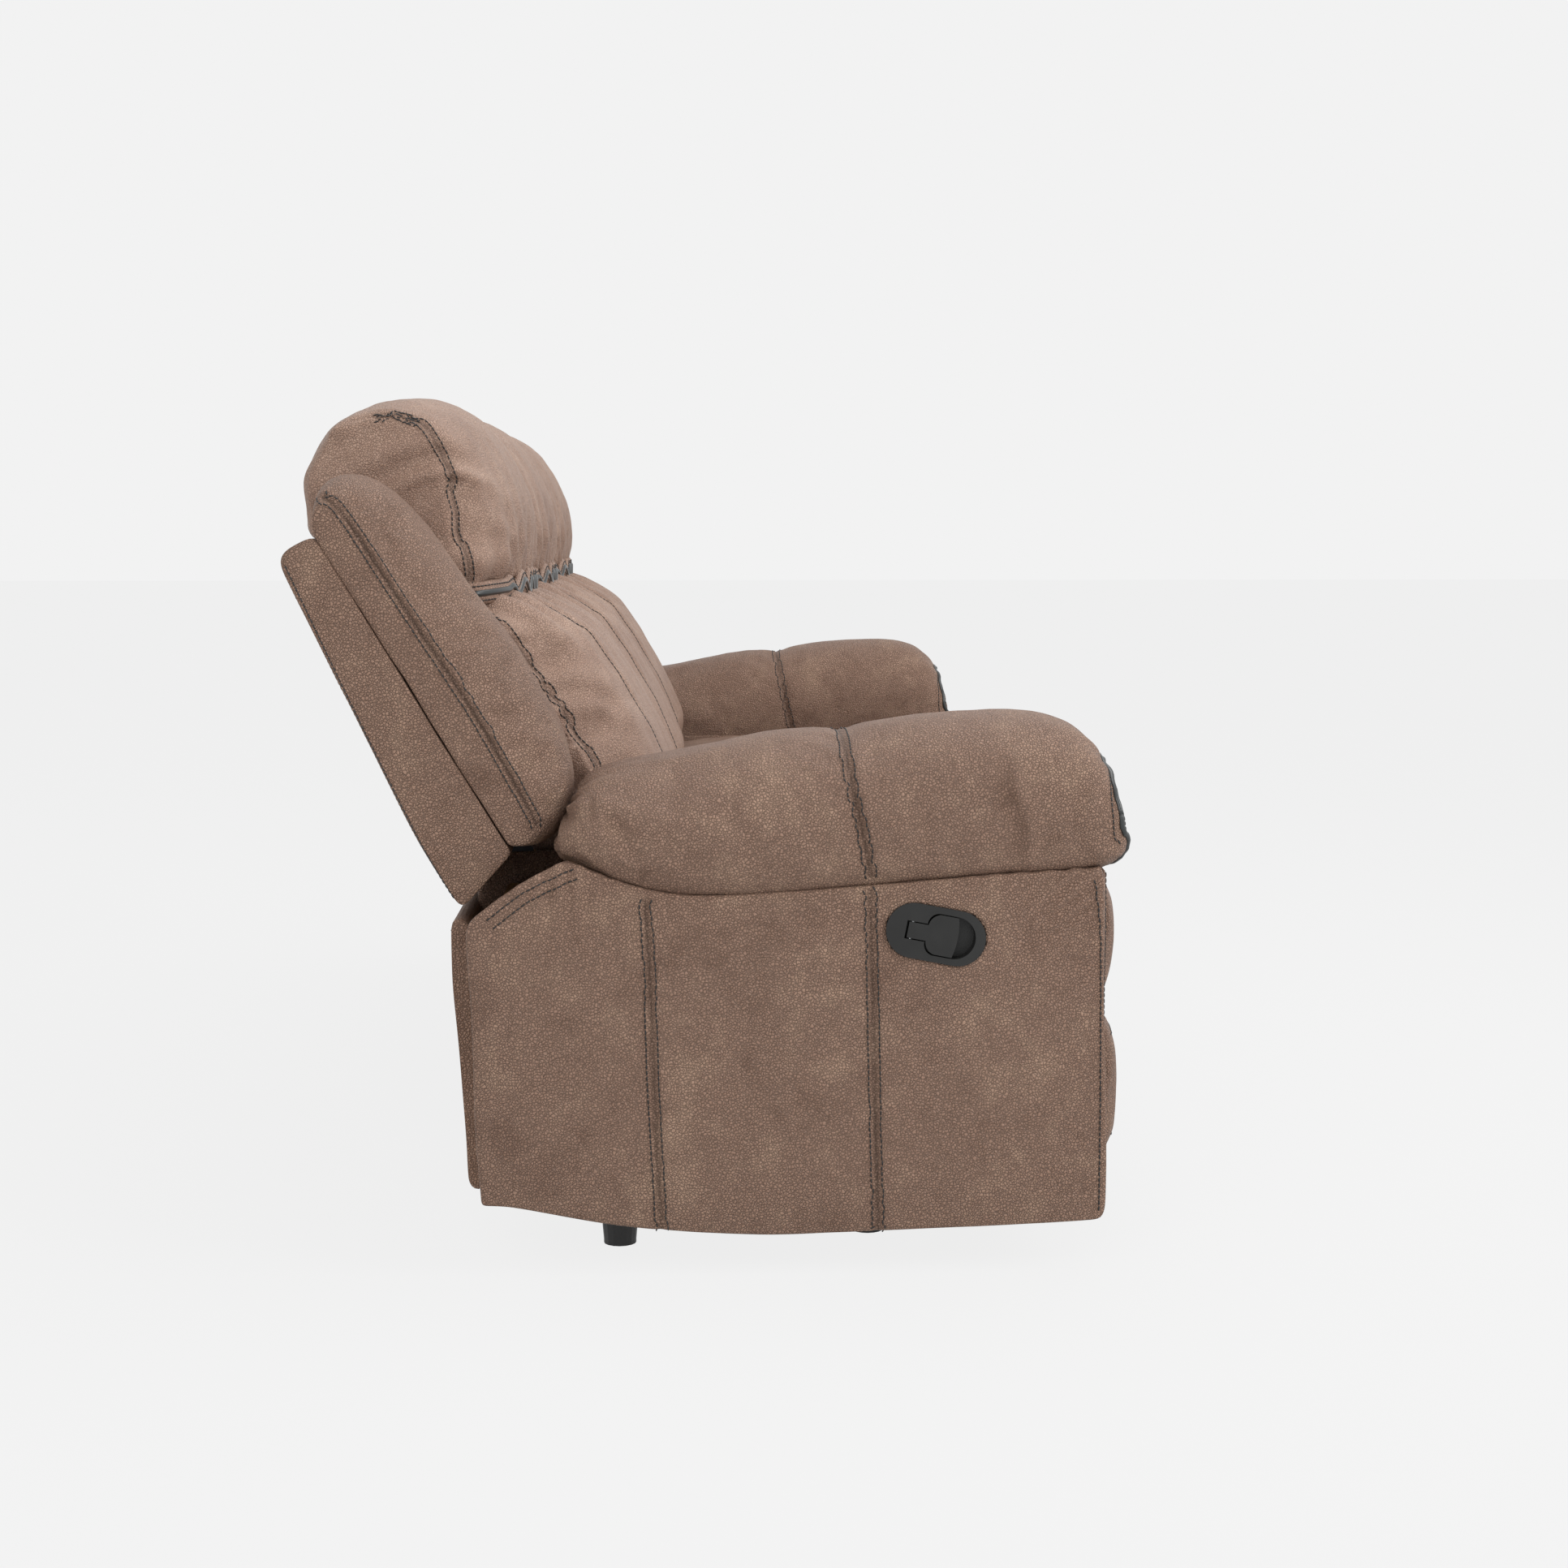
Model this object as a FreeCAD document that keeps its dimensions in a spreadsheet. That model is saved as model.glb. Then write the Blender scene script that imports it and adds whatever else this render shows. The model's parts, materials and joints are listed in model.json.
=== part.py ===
# Three-seat reclining sofa, built as its separate pieces.
# X is the width, the sofa's front faces -Y, +Z is up and the floor is Z = 0. All sizes are in millimetres.
# "Right" is the right-hand side of a person who sits on the sofa, which is -X.
import FreeCAD, Part
import math
import os
import Sketcher
from FreeCAD import Placement, Rotation, Vector

# Driving dimensions: name, millimetres or degrees, what it is.
DIMENSIONS = [
    ("seat_width", 585.0, "one seat, from arm to neighbour"),
    ("arm_width", 240.0, "arm, inner to outer cover"),
    ("depth_shift", 12.8, "moves depths measured from the arm's middle to the middle of the whole"),
    ("side_gap", 2.5, "each side of a seat's soft parts"),
    ("clearance", 0.3, "between a piece and its seat"),
    ("cover_thickness", 20.0, "padded arm side panel"),
    ("inner_cover_thickness", 15.0, "arm's inner and front cover"),
    ("roll_overhang", 12.0, "arm roll beyond the side panel"),
    ("board_thickness", 18.0, "arm frame boards"),
    ("arm_frame_bottom", 92.0, "underside of the arm frame"),
    ("plate_thickness", 4.0, "seat side plates"),
    ("link_thickness", 4.0, "steel links"),
    ("link_width", 24.0, "steel links, full width"),
    ("washer_gap", 2.0, "between plate and link"),
    ("layer_gap", 3.0, "between the two layers of links"),
    ("mechanism_gap", 38.5, "edge of a seat to inner face of its side plate"),
    ("arm_glide_inset", 43.0, "arm's inner cover to the middle of the front glide foot"),
    ("rail_glide_front", 35.0, "base rail's front end to the middle of its front glide foot"),
    ("rail_glide_rear", 98.0, "middle of its rear glide foot to the base rail's rear end"),
    ("rivet_radius", 4.0, "pivot rivet shank"),
    ("rivet_head_radius", 7.0, "pivot rivet head"),
    ("rivet_head_height", 2.0, "pivot rivet head"),
    ("rivet_sides", 8.0, "sides of a small rivet and its hole"),
    ("soft_chords", 3.0, "chords that stand for each arc of a soft piece"),
    ("running_clearance", 0.05, "hole radius over shank radius"),
    ("end_play", 0.4, "rivet head to link face"),
    ("swing_length", 210.0, "drive link and guide link, pivot to pivot"),
    ("carry_length", 219.0, "carry link, drive link pivot to footrest pivot"),
    ("tilt_spacing", 50.0, "guide link beyond the carry link, and bracket pivots"),
    ("swing_angle", 72.0, "drive link below the horizontal when stowed"),
    ("carrier_length", 125.0, "carrier link, pivot to pivot"),
    ("carrier_lean", 30.0, "carrier link behind the vertical at rest"),
    ("drive_tube_radius", 9.0, "torque tube between the drive links"),
    ("drive_tube_offset", 60.0, "torque tube along the drive link"),
    ("rail_thickness", 3.0, "base rail angle section"),
    ("rail_height", 40.0, "base rail upright leg"),
    ("rail_foot_width", 23.0, "base rail flat leg"),
    ("rail_bottom", 60.0, "underside of the base rails"),
    ("rail_length", 570.0, "base rail"),
    ("stretcher_width", 40.0, "cross stretcher"),
    ("seat_frame_bottom", 333.0, "underside of the seat frame"),
    ("seat_frame_height", 42.0, "seat frame rails"),
    ("seat_rail_width", 45.0, "seat frame side rails"),
    ("spring_thickness", 3.5, "sinuous spring wire"),
    ("spring_width", 44.0, "sinuous spring, across its bends"),
    ("footrest_board_thickness", 15.0, "footrest board"),
    ("bracket_flange", 20.0, "footrest bracket flange"),
    ("back_hinge_width", 32.0, "back hinge bracket"),
    ("back_hinge_length", 250.0, "back hinge bracket, pivot to the centre of its top end"),
    ("back_post_width", 40.0, "back frame post, across the seat"),
    ("back_post_depth", 30.0, "back frame post, front to rear"),
    ("leg_foot_depth", 20.0, "foot of the middle back frame's legs"),
    ("shell_wall", 20.0, "back shell walls"),
    ("wing_width", 188.0, "side bolster of an end seat"),
    ("wing_inset", 50.0, "wing side inside the arm's outer side"),
    ("tailgate_inset", 55.0, "rear panel's end inside the arm's outer side"),
    ("glide_radius", 24.5, "glide foot, top"),
    ("glide_foot_radius", 20.0, "glide foot, on the floor"),
    ("rail_glide_radius", 11.0, "glide foot of a base rail, top"),
    ("rail_glide_foot_radius", 10.0, "glide foot of a base rail, on the floor"),
    ("bezel_length", 118.0, "lever bezel, end to end"),
    ("bezel_width", 65.0, "lever bezel, across"),
    ("bezel_lip", 4.0, "lever bezel, proud of the panel"),
    ("cup_depth", 16.0, "finger cup below the panel's face"),
    ("cup_wall", 3.0, "finger cup wall"),
    ("paddle_thickness", 4.0, "flip lever paddle"),
    ("lever_pin_radius", 2.0, "pin of the flip lever"),
    ("bezel_tilt", 11.0, "bezel's front end lower than its rear end"),
]

# Depth and height of the pivots of a recliner's mechanism.
DRIVE_PIVOT = (-297.0, 272.0)
GUIDE_PIVOT = (-353.0, 300.0)
FRONT_CARRIER_PIVOT = (-200.0, 84.0)
REAR_CARRIER_PIVOT = (120.0, 84.0)
BACK_PIVOT = (250.0, 350.0)
FOOTREST_BOARD_REAR = -450.0
SEAT_FRAME_FRONT = -442.0
SEAT_FRAME_REAR = 230.0
BEZEL_CENTRE = (-265.0, 406.0)

# The plane on which the back cushions lie, from its low end to its high end.
BACK_PLANE_LOW = (230.0, 497.0)
BACK_PLANE_HIGH = (455.0, 868.0)

doc = FreeCAD.newDocument("reclining_sofa")
sheet = doc.addObject("Spreadsheet::Sheet", "Sizes")
for row, (name, value, meaning) in enumerate(DIMENSIONS, start=1):
    sheet.set(f"A{row}", meaning)
    sheet.set(f"B{row}", str(value))
    sheet.setAlias(f"B{row}", name)
doc.recompute()

nodes = []


def size(name):
    return float(sheet.get(name))


SEAT = size("seat_width")
ARM_INNER = 1.5 * SEAT
ARM_OUTER = ARM_INNER + size("arm_width")
ARM_MIDDLE = ARM_INNER + size("arm_width") / 2
RIGHT_SEAT = -SEAT
SOFT_HALF = SEAT / 2 - size("side_gap")
CLEAR = size("clearance")

# Distances from a seat's middle to the layers of its mechanism, inner face first.
PLATE = SEAT / 2 - size("mechanism_gap")
CARRIER = PLATE + size("plate_thickness") + size("washer_gap")
RAIL = CARRIER + size("link_thickness") + size("washer_gap")
OUTER_LINKS = PLATE - size("washer_gap") - size("link_thickness")
INNER_LINKS = OUTER_LINKS - size("layer_gap") - size("link_thickness")
FRAME_HALF = PLATE - CLEAR


def bind(item, name, expression):
    item.setExpression(name, expression)


def fused(label, pieces):
    joined = doc.addObject("Part::MultiFuse", label)
    joined.Shapes = pieces
    return joined


def cut(label, base, tool):
    result = doc.addObject("Part::Cut", label)
    result.Base = base
    result.Tool = tool
    return result


def mirrored(item, plane_x=0.0):
    result = doc.addObject("Part::Mirroring", item.Name + "_mirrored")
    result.Source = item
    result.Normal = (1, 0, 0)
    result.Base = (plane_x, 0, 0)
    return result


def twins(item, seat_middle=RIGHT_SEAT):
    return [item, mirrored(item, seat_middle)]


def node(name, pieces):
    group = doc.addObject("Part::Compound", name)
    group.Label = name
    group.Links = pieces
    bind(group, "Placement.Base.y", "Sizes.depth_shift")
    nodes.append(group)
    return group


def node_pair(name, pieces):
    node("right_" + name, pieces)
    node("left_" + name, [mirrored(piece) for piece in pieces])


def shaped(label, shape):
    item = doc.addObject("Part::Feature", label)
    item.Shape = shape
    return item


def box(label, low, high, bound=None):
    item = doc.addObject("Part::Box", label)
    item.Length = high[0] - low[0]
    item.Width = high[1] - low[1]
    item.Height = high[2] - low[2]
    item.Placement = Placement(Vector(*low), Rotation())
    for side, expression in (bound or {}).items():
        bind(item, side, expression)
    return item


def rod(label, start_x, end_x, depth, height, radius, is_round=True):
    item = doc.addObject("Part::Cylinder" if is_round else "Part::Prism", label)
    bind(item, "Radius" if is_round else "Circumradius", "Sizes." + radius)
    if not is_round:
        bind(item, "Polygon", "Sizes.rivet_sides")
    item.Height = abs(end_x - start_x)
    low = min(start_x, end_x)
    item.Placement = Placement(Vector(low, depth, height), Rotation(Vector(0, 1, 0), 90))
    return item


# The corners of a small rivet's hole, which clears the rivet's corners as it turns.
def ring_points(centre):
    sides = round(size("rivet_sides"))
    radius = (size("rivet_radius") + size("running_clearance")) / math.cos(math.pi / sides)
    points = []
    for number in range(sides + 1):
        angle = 2 * math.pi * (number % sides) / sides
        points.append((centre[0] + radius * math.cos(angle), centre[1] + radius * math.sin(angle)))
    return points


# An outline is a start point and then steps: one point for a line, a middle and an end point for an arc.
def outline_curves(outline):
    curves = []
    here = outline[0]
    for step in outline[1:]:
        if isinstance(step[0], tuple):
            middle, end = step
            points = [Vector(*here, 0), Vector(*middle, 0), Vector(*end, 0)]
            curves.append(Part.Arc(*points))
        else:
            end = step
            curves.append(Part.LineSegment(Vector(*here, 0), Vector(*end, 0)))
        here = end
    if here != outline[0]:
        curves.append(Part.LineSegment(Vector(*here, 0), Vector(*outline[0], 0)))
    return curves


def side_sketch(body, name, outline, holes=()):
    sketch = body.newObject("Sketcher::SketchObject", name)
    for feature in body.Origin.OriginFeatures:
        if feature.Role == "YZ_Plane":
            sketch.AttachmentSupport = (feature, "")
    sketch.MapMode = "FlatFace"
    if outline:
        sketch.addGeometry(outline_curves(outline), False)
    for number, (centre, radius) in enumerate(holes):
        circle = Part.Circle(Vector(*centre, 0), Vector(0, 0, 1), 5.0)
        index = sketch.addGeometry(circle, False)
        constraint = sketch.addConstraint(Sketcher.Constraint("Radius", index, 5.0))
        sketch.renameConstraint(constraint, f"hole_{number}")
        bind(sketch, f"Constraints.hole_{number}", radius)
    return sketch


# Round holes take their radius from the sheet. Plain holes are the prisms that small rivets turn in.
def side_plate(label, outline, start_x, thickness, holes=(), plain_holes=()):
    body = doc.addObject("PartDesign::Body", label)
    sketch = side_sketch(body, label + "_outline", outline, holes)
    for centre in plain_holes:
        sketch.addGeometry(outline_curves(ring_points(centre)), False)
    pad = body.newObject("PartDesign::Pad", label + "_pad")
    pad.Profile = sketch
    bind(pad, "Length", thickness)
    body.Placement = Placement(Vector(start_x, 0, 0), Rotation())
    return body


def space(outline, place):
    edges = []
    here = outline[0]
    for step in outline[1:] + [outline[0]]:
        if isinstance(step[0], tuple):
            middle, end = step
            edges.append(Part.Arc(place(*here), place(*middle), place(*end)).toShape())
        else:
            end = step
            if end != here:
                edges.append(Part.makeLine(place(*here), place(*end)))
        here = end
    return Part.Wire(edges)


# A padded piece across the seat: towards its two ends its side profile is drawn in to a line that stays.
# Each pair holds the share of the half width and the share of the distance from that line.
FLAT_CROWN = [(-1.0, 0.82), (-0.93, 0.95), (-0.6, 1.0), (0.6, 1.0), (0.93, 0.95), (1.0, 0.82)]
DEEP_CROWN = [(-1.0, 0.58), (-0.88, 0.79), (-0.5, 0.96), (0.5, 0.96), (0.88, 0.79), (1.0, 0.58)]


def nearest(point, line):
    best = None
    for start, end in zip(line, line[1:]):
        run = (end[0] - start[0], end[1] - start[1])
        reach = (point[0] - start[0]) * run[0] + (point[1] - start[1]) * run[1]
        share = min(max(reach / (run[0] ** 2 + run[1] ** 2), 0.0), 1.0)
        foot = along(start, run, share)
        gap = math.hypot(point[0] - foot[0], point[1] - foot[1])
        if best is None or gap < best[0]:
            best = (gap, foot)
    return best[1]


# An outline's points, with each arc cut into a few chords.
def chords(outline):
    steps = round(size("soft_chords"))
    points = [outline[0]]
    for step in outline[1:]:
        if isinstance(step[0], tuple):
            arc = Part.Arc(*[Vector(*point, 0) for point in (points[-1], *step)]).toShape()
            points += [(point.x, point.y) for point in arc.discretize(steps + 1)[1:]]
        else:
            points.append(step)
    return points[:-1] if math.dist(points[0], points[-1]) < 0.001 else points


# A closed solid with flat triangles between rings of points, each ring in one plane.
def skinned(label, rings):
    faces = [Part.Face(Part.makePolygon(ring + [ring[0]])) for ring in (rings[0], rings[-1])]
    for ring, following in zip(rings, rings[1:]):
        for number in range(len(ring)):
            corners = [ring[number - 1], ring[number], following[number], following[number - 1]]
            for triangle in ((corners[0], corners[1], corners[2]), (corners[2], corners[3], corners[0])):
                faces.append(Part.Face(Part.makePolygon([*triangle, triangle[0]])))
    solid = Part.Solid(Part.Shell(faces))
    if solid.Volume < 0:
        solid.reverse()
    return shaped(label, solid)


def cushion(label, profile, line, middle_x, half, crown):
    rings = []
    for fraction, share in crown:
        ring = []
        for point in chords(profile):
            foot = nearest(point, line)
            drawn = along(foot, (point[0] - foot[0], point[1] - foot[1]), share)
            ring.append(Vector(middle_x + fraction * half, *drawn))
        rings.append(ring)
    return skinned(label, rings)


def along(start, direction, distance):
    return (start[0] + direction[0] * distance, start[1] + direction[1] * distance)


def towards(start, end):
    length = math.hypot(end[0] - start[0], end[1] - start[1])
    return ((end[0] - start[0]) / length, (end[1] - start[1]) / length)


# A flat bar whose ends reach half its width past both points, with their corners cut.
def bar(start, end, half_width):
    way = towards(start, end)
    side = (-way[1], way[0])
    narrow = 0.45 * half_width
    points = []
    for centre, sign in ((start, 1), (end, -1)):
        points += [along(centre, side, sign * half_width),
                   along(along(centre, way, -sign * half_width), side, sign * narrow),
                   along(along(centre, way, -sign * half_width), side, -sign * narrow),
                   along(centre, side, -sign * half_width)]
    return points + [points[0]]


# A rivet stands on the face at distance_from and holds what lies before distance_to.
def rivet(label, pivot, distance_from, distance_to, middle_x=RIGHT_SEAT, round_shank=False):
    start_x = middle_x - distance_from
    end_x = middle_x - distance_to
    way = 1 if end_x > start_x else -1
    play = size("end_play")
    shank_end = end_x + way * play
    head_end = shank_end + way * size("rivet_head_height")
    shank = rod(label + "_shank", start_x, shank_end, *pivot, "rivet_radius", round_shank)
    head = rod(label + "_head", shank_end, head_end, *pivot, "rivet_head_radius", False)
    return [shank, head]


RIVET_HOLE = "Sizes.rivet_radius + Sizes.running_clearance"
LINK = "Sizes.link_thickness"
HALF_LINK = size("link_width") / 2

swing = math.radians(-size("swing_angle"))
SWING_WAY = (math.cos(swing), math.sin(swing))
CARRY_WAY = towards(DRIVE_PIVOT, GUIDE_PIVOT)
PIVOT_SPACING = math.hypot(GUIDE_PIVOT[0] - DRIVE_PIVOT[0], GUIDE_PIVOT[1] - DRIVE_PIVOT[1])
DRIVE_END = along(DRIVE_PIVOT, SWING_WAY, size("swing_length"))
GUIDE_CROSSING = along(GUIDE_PIVOT, SWING_WAY, size("swing_length"))
GUIDE_END = along(GUIDE_CROSSING, SWING_WAY, size("tilt_spacing"))
FOOTREST_PIVOT = along(DRIVE_END, CARRY_WAY, size("carry_length"))
FOOTREST_TILT_PIVOT = along(FOOTREST_PIVOT, SWING_WAY, size("tilt_spacing"))
lean = math.radians(90 - size("carrier_lean"))
CARRIER_WAY = (math.cos(lean), math.sin(lean))
FRONT_CARRIER_TOP = along(FRONT_CARRIER_PIVOT, CARRIER_WAY, size("carrier_length"))
REAR_CARRIER_TOP = along(REAR_CARRIER_PIVOT, CARRIER_WAY, size("carrier_length"))
DRIVE_TUBE = along(DRIVE_PIVOT, SWING_WAY, size("drive_tube_offset"))
SEAT_FRAME_TOP = size("seat_frame_bottom") + size("seat_frame_height")
RAIL_TOP = size("rail_bottom") + size("rail_height")
STRETCHER_TOP = RAIL_TOP + size("stretcher_width")
BACK_WAY = towards(BACK_PLANE_LOW, BACK_PLANE_HIGH)
BACK_REAR = (BACK_WAY[1], -BACK_WAY[0])
SEAT_BASE = SEAT_FRAME_TOP + size("spring_thickness") + CLEAR
DROP_REAR = SEAT_FRAME_FRONT - CLEAR
PAD_REAR = FOOTREST_BOARD_REAR - size("footrest_board_thickness") - CLEAR
HINGE_TOP = along(BACK_PIVOT, towards(BACK_PIVOT, (290.0, 520.0)), size("back_hinge_length"))


def arms():
    front_edge, rear_edge = -470.0, 282.0
    panel = [(front_edge, 124.0), (-468.0, 70.0), ((-464.0, 62.0), (-455.0, 60.0)),
             ((-100.0, 48.0), (128.0, 64.0)), (233.0, 86.0), (262.0, 84.0), (268.0, 90.0),
             ((276.0, 240.0), (rear_edge, 411.0)), (266.0, 429.0),
             ((219.0, 466.0), (163.0, 488.0)), ((107.0, 460.0), (30.0, 442.0)),
             ((-80.0, 442.0), (-191.0, 451.0)), (-464.0, 476.0), ((-464.0, 310.0), (front_edge, 124.0))]
    start = -ARM_OUTER
    side_panel = side_plate("side_panel", panel, start, "Sizes.cover_thickness")
    half_long = size("bezel_length") / 2
    half_wide = size("bezel_width") / 2
    cup = stadium(half_long - size("bezel_lip") + CLEAR, half_wide - size("bezel_lip") + CLEAR)
    hole = side_plate("lever_hole", cup, start - 1.0, "Sizes.cover_thickness + 2")
    node_pair("side_panel", [cut("side_panel_cut", side_panel, hole)])

    inner = [(-454.0, 60.0), ((-100.0, 50.0), (262.0, 84.0)), (268.0, 90.0), ((276.0, 240.0), (281.0, 411.0)),
             (264.0, 427.0), ((219.0, 460.0), (163.0, 484.0)), ((107.0, 456.0), (30.0, 439.0)),
             (-191.0, 448.0), (-454.0, 470.0)]
    inner_x = -ARM_INNER - size("inner_cover_thickness")
    inner_cover = side_plate("inner_cover", inner, inner_x, "Sizes.inner_cover_thickness")
    facing = box("facing", (-ARM_OUTER + size("cover_thickness") + CLEAR, front_edge, 66.0),
                 (-ARM_INNER, -454.0, 470.0))
    node_pair("arm_cover", [fused("arm_cover_piece", [inner_cover, facing])])

    frame_low, frame_front, frame_rear = size("arm_frame_bottom"), -453.7, 262.0
    board = size("board_thickness")
    low_x = -ARM_OUTER + size("cover_thickness") + CLEAR
    high_x = inner_x - CLEAR
    frame_top = 420.0
    web_x = -ARM_MIDDLE - board / 2
    web = box("arm_web", (web_x, frame_front, frame_low), (web_x + board, frame_rear, frame_top),
              {"Length": "Sizes.board_thickness"})
    bottom = box("arm_bottom_board", (low_x, frame_front, frame_low), (high_x, frame_rear, frame_low + board),
                 {"Height": "Sizes.board_thickness"})
    top = box("arm_top_board", (low_x, frame_front, frame_top), (high_x, frame_rear - 16.0, frame_top + board),
              {"Height": "Sizes.board_thickness"})
    front = box("arm_front_board", (low_x, frame_front, frame_low), (high_x, frame_front + board, frame_top),
                {"Width": "Sizes.board_thickness"})
    rear = box("arm_rear_board", (low_x, frame_rear - board, frame_low), (high_x, frame_rear, frame_top - 12.0),
               {"Width": "Sizes.board_thickness"})
    joined = fused("arm_frame_piece", [web, bottom, top, front, rear])
    well = box("lever_well", (low_x - 1.0, BEZEL_CENTRE[0] - 62.0, 360.0),
               (-ARM_MIDDLE - board, BEZEL_CENTRE[0] + 62.0, frame_top + board + 1.0))
    node("arm_frames", [cut("arm_frame_cut", joined, well), mirrored(doc.getObject("arm_frame_cut"))])

    # Depth, underside, top and share of the full width of the roll's sections, from rear to front.
    stations = [(167.0, 497.0, 524.0, 0.88), (155.0, 487.0, 560.0, 0.96), (130.0, 476.0, 584.0, 1.0),
                (50.0, 449.0, 602.0, 1.0), (-150.0, 451.0, 635.0, 1.0), (-385.0, 470.0, 655.0, 1.0),
                (-440.0, 474.0, 640.0, 0.99), (-480.0, 484.0, 588.0, 0.95), (-490.0, 500.0, 545.0, 0.88)]
    rings = []
    outer = ARM_OUTER + size("roll_overhang")
    middle = (outer + ARM_INNER) / 2
    section = chords([(-0.9, 0.0), ((-0.98, 0.45), (-0.86, 0.76)), ((-0.72, 0.92), (-0.45, 0.98)), (0.45, 0.98),
                      ((0.72, 0.92), (0.86, 0.76)), ((0.98, 0.45), (0.9, 0.0)), (-0.9, 0.0)])
    for depth, low, top_height, share in stations:
        half = (outer - ARM_INNER - 0.5) / 2 * share
        rings.append([Vector(-middle + across * half, depth, low + height * (top_height - low))
                      for across, height in section])
    node_pair("arm_roll", [skinned("arm_roll_piece", rings)])


# A rounded slot along the bezel's long axis, in depth and height.
def bezel_point(along_axis, across_axis):
    tilt = math.radians(size("bezel_tilt"))
    depth = BEZEL_CENTRE[0] - along_axis * math.cos(tilt) + across_axis * math.sin(tilt)
    height = BEZEL_CENTRE[1] - along_axis * math.sin(tilt) - across_axis * math.cos(tilt)
    return (depth, height)


def tilted(outline):
    result = []
    for step in outline:
        if isinstance(step[0], tuple):
            result.append((bezel_point(*step[0]), bezel_point(*step[1])))
        else:
            result.append(bezel_point(*step))
    return result


def stadium(half_long, half_wide):
    flat = half_long - half_wide
    return tilted([(-flat, half_wide), ((-half_long, 0.0), (-flat, -half_wide)), (flat, -half_wide),
                   ((half_long, 0.0), (flat, half_wide)), (-flat, half_wide)])


def levers():
    half_long = size("bezel_length") / 2
    half_wide = size("bezel_width") / 2
    lip = size("bezel_lip")
    face_x = -ARM_OUTER - lip
    flange = side_plate("bezel_flange", stadium(half_long, half_wide), face_x, "Sizes.bezel_lip")
    cup = side_plate("bezel_cup", stadium(half_long - lip, half_wide - lip), face_x,
                     "Sizes.bezel_lip + Sizes.cup_depth + Sizes.cup_wall")
    tab_rear, head_rear, cup_front = -36.0, -12.0, 47.0
    tab_half, head_half = 10.8, 25.0
    corner = 12.0
    keyhole = tilted([(tab_rear, -tab_half), (head_rear, -tab_half),
                      ((head_rear + 3.0, -head_half + 5.0), (head_rear + corner, -head_half)),
                      (cup_front - head_half, -head_half), ((cup_front, 0.0), (cup_front - head_half, head_half)),
                      (head_rear + corner, head_half), ((head_rear + 3.0, head_half - 5.0), (head_rear, tab_half)),
                      (tab_rear, tab_half)])
    recess = side_plate("bezel_recess", keyhole, face_x - 1.0, "Sizes.bezel_lip + Sizes.cup_depth + 1")
    pin_along = tab_rear + 7.0
    pin_x = face_x + 4.5
    tilt = math.radians(size("bezel_tilt"))
    across = Vector(0, math.sin(tilt), -math.cos(tilt))

    def cross_rod(label, half_length, radius):
        item = doc.addObject("Part::Cylinder", label)
        bind(item, "Radius", radius)
        item.Height = 2 * half_length
        low = bezel_point(pin_along, -half_length)
        item.Placement = Placement(Vector(pin_x, *low), Rotation(Vector(0, 0, 1), across))
        return item

    bore = cross_rod("bezel_pin_bore", tab_half + 4.0, "Sizes.lever_pin_radius + 0.02")
    cavity = fused("bezel_cavity", [recess, bore])
    bezel = cut("lever_bezel_piece", fused("bezel_block", [flange, cup]), cavity)
    node("lever_bezels", [bezel, mirrored(bezel)])
    pin = cross_rod("lever_pin_piece", tab_half + 3.9, "Sizes.lever_pin_radius")
    node("lever_pins", [pin, mirrored(pin)])

    clear = 1.3
    tail = tab_rear + 2 * clear
    neck = head_rear + clear
    head_front = 26.0
    paddle_shape = tilted([(tail, -tab_half + clear), (neck, -tab_half + clear),
                           ((neck + 3.6, -head_half + 6.6), (neck + corner, -head_half + clear)),
                           (head_front - 3.0, -head_half + clear),
                           ((head_front, 0.0), (head_front - 3.0, head_half - clear)),
                           (neck + corner, head_half - clear),
                           ((neck + 3.6, head_half - 6.6), (neck, tab_half - clear)),
                           (tail, tab_half - clear)])
    plate = side_plate("paddle_plate", paddle_shape, face_x + 0.6, "Sizes.paddle_thickness")
    barrel = cross_rod("paddle_barrel", tab_half - clear, "Sizes.lever_pin_radius + 1.6")
    hole = cross_rod("paddle_bore", tab_half, "Sizes.lever_pin_radius + Sizes.running_clearance")
    paddle = cut("lever_paddle_piece", fused("paddle_body", [plate, barrel]), hole)
    node_pair("lever_paddle", [paddle])
    return Vector(pin_x, *bezel_point(pin_along, 0.0)), across


# A tapered foot with sixteen flats, a short straight tread at the floor and a collar at the top.
def glide(foot_radius, top_radius, height):
    sides = 16
    rings = []
    for level, radius in ((0.0, foot_radius), (0.05 * height, foot_radius), (0.6 * height, top_radius),
                          (height, top_radius)):
        corners = [Vector(radius * math.cos(2 * math.pi * number / sides),
                          radius * math.sin(2 * math.pi * number / sides), level) for number in range(sides)]
        rings.append(Part.makePolygon(corners + [corners[0]]))
    return Part.makeLoft(rings, True, True)


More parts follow.
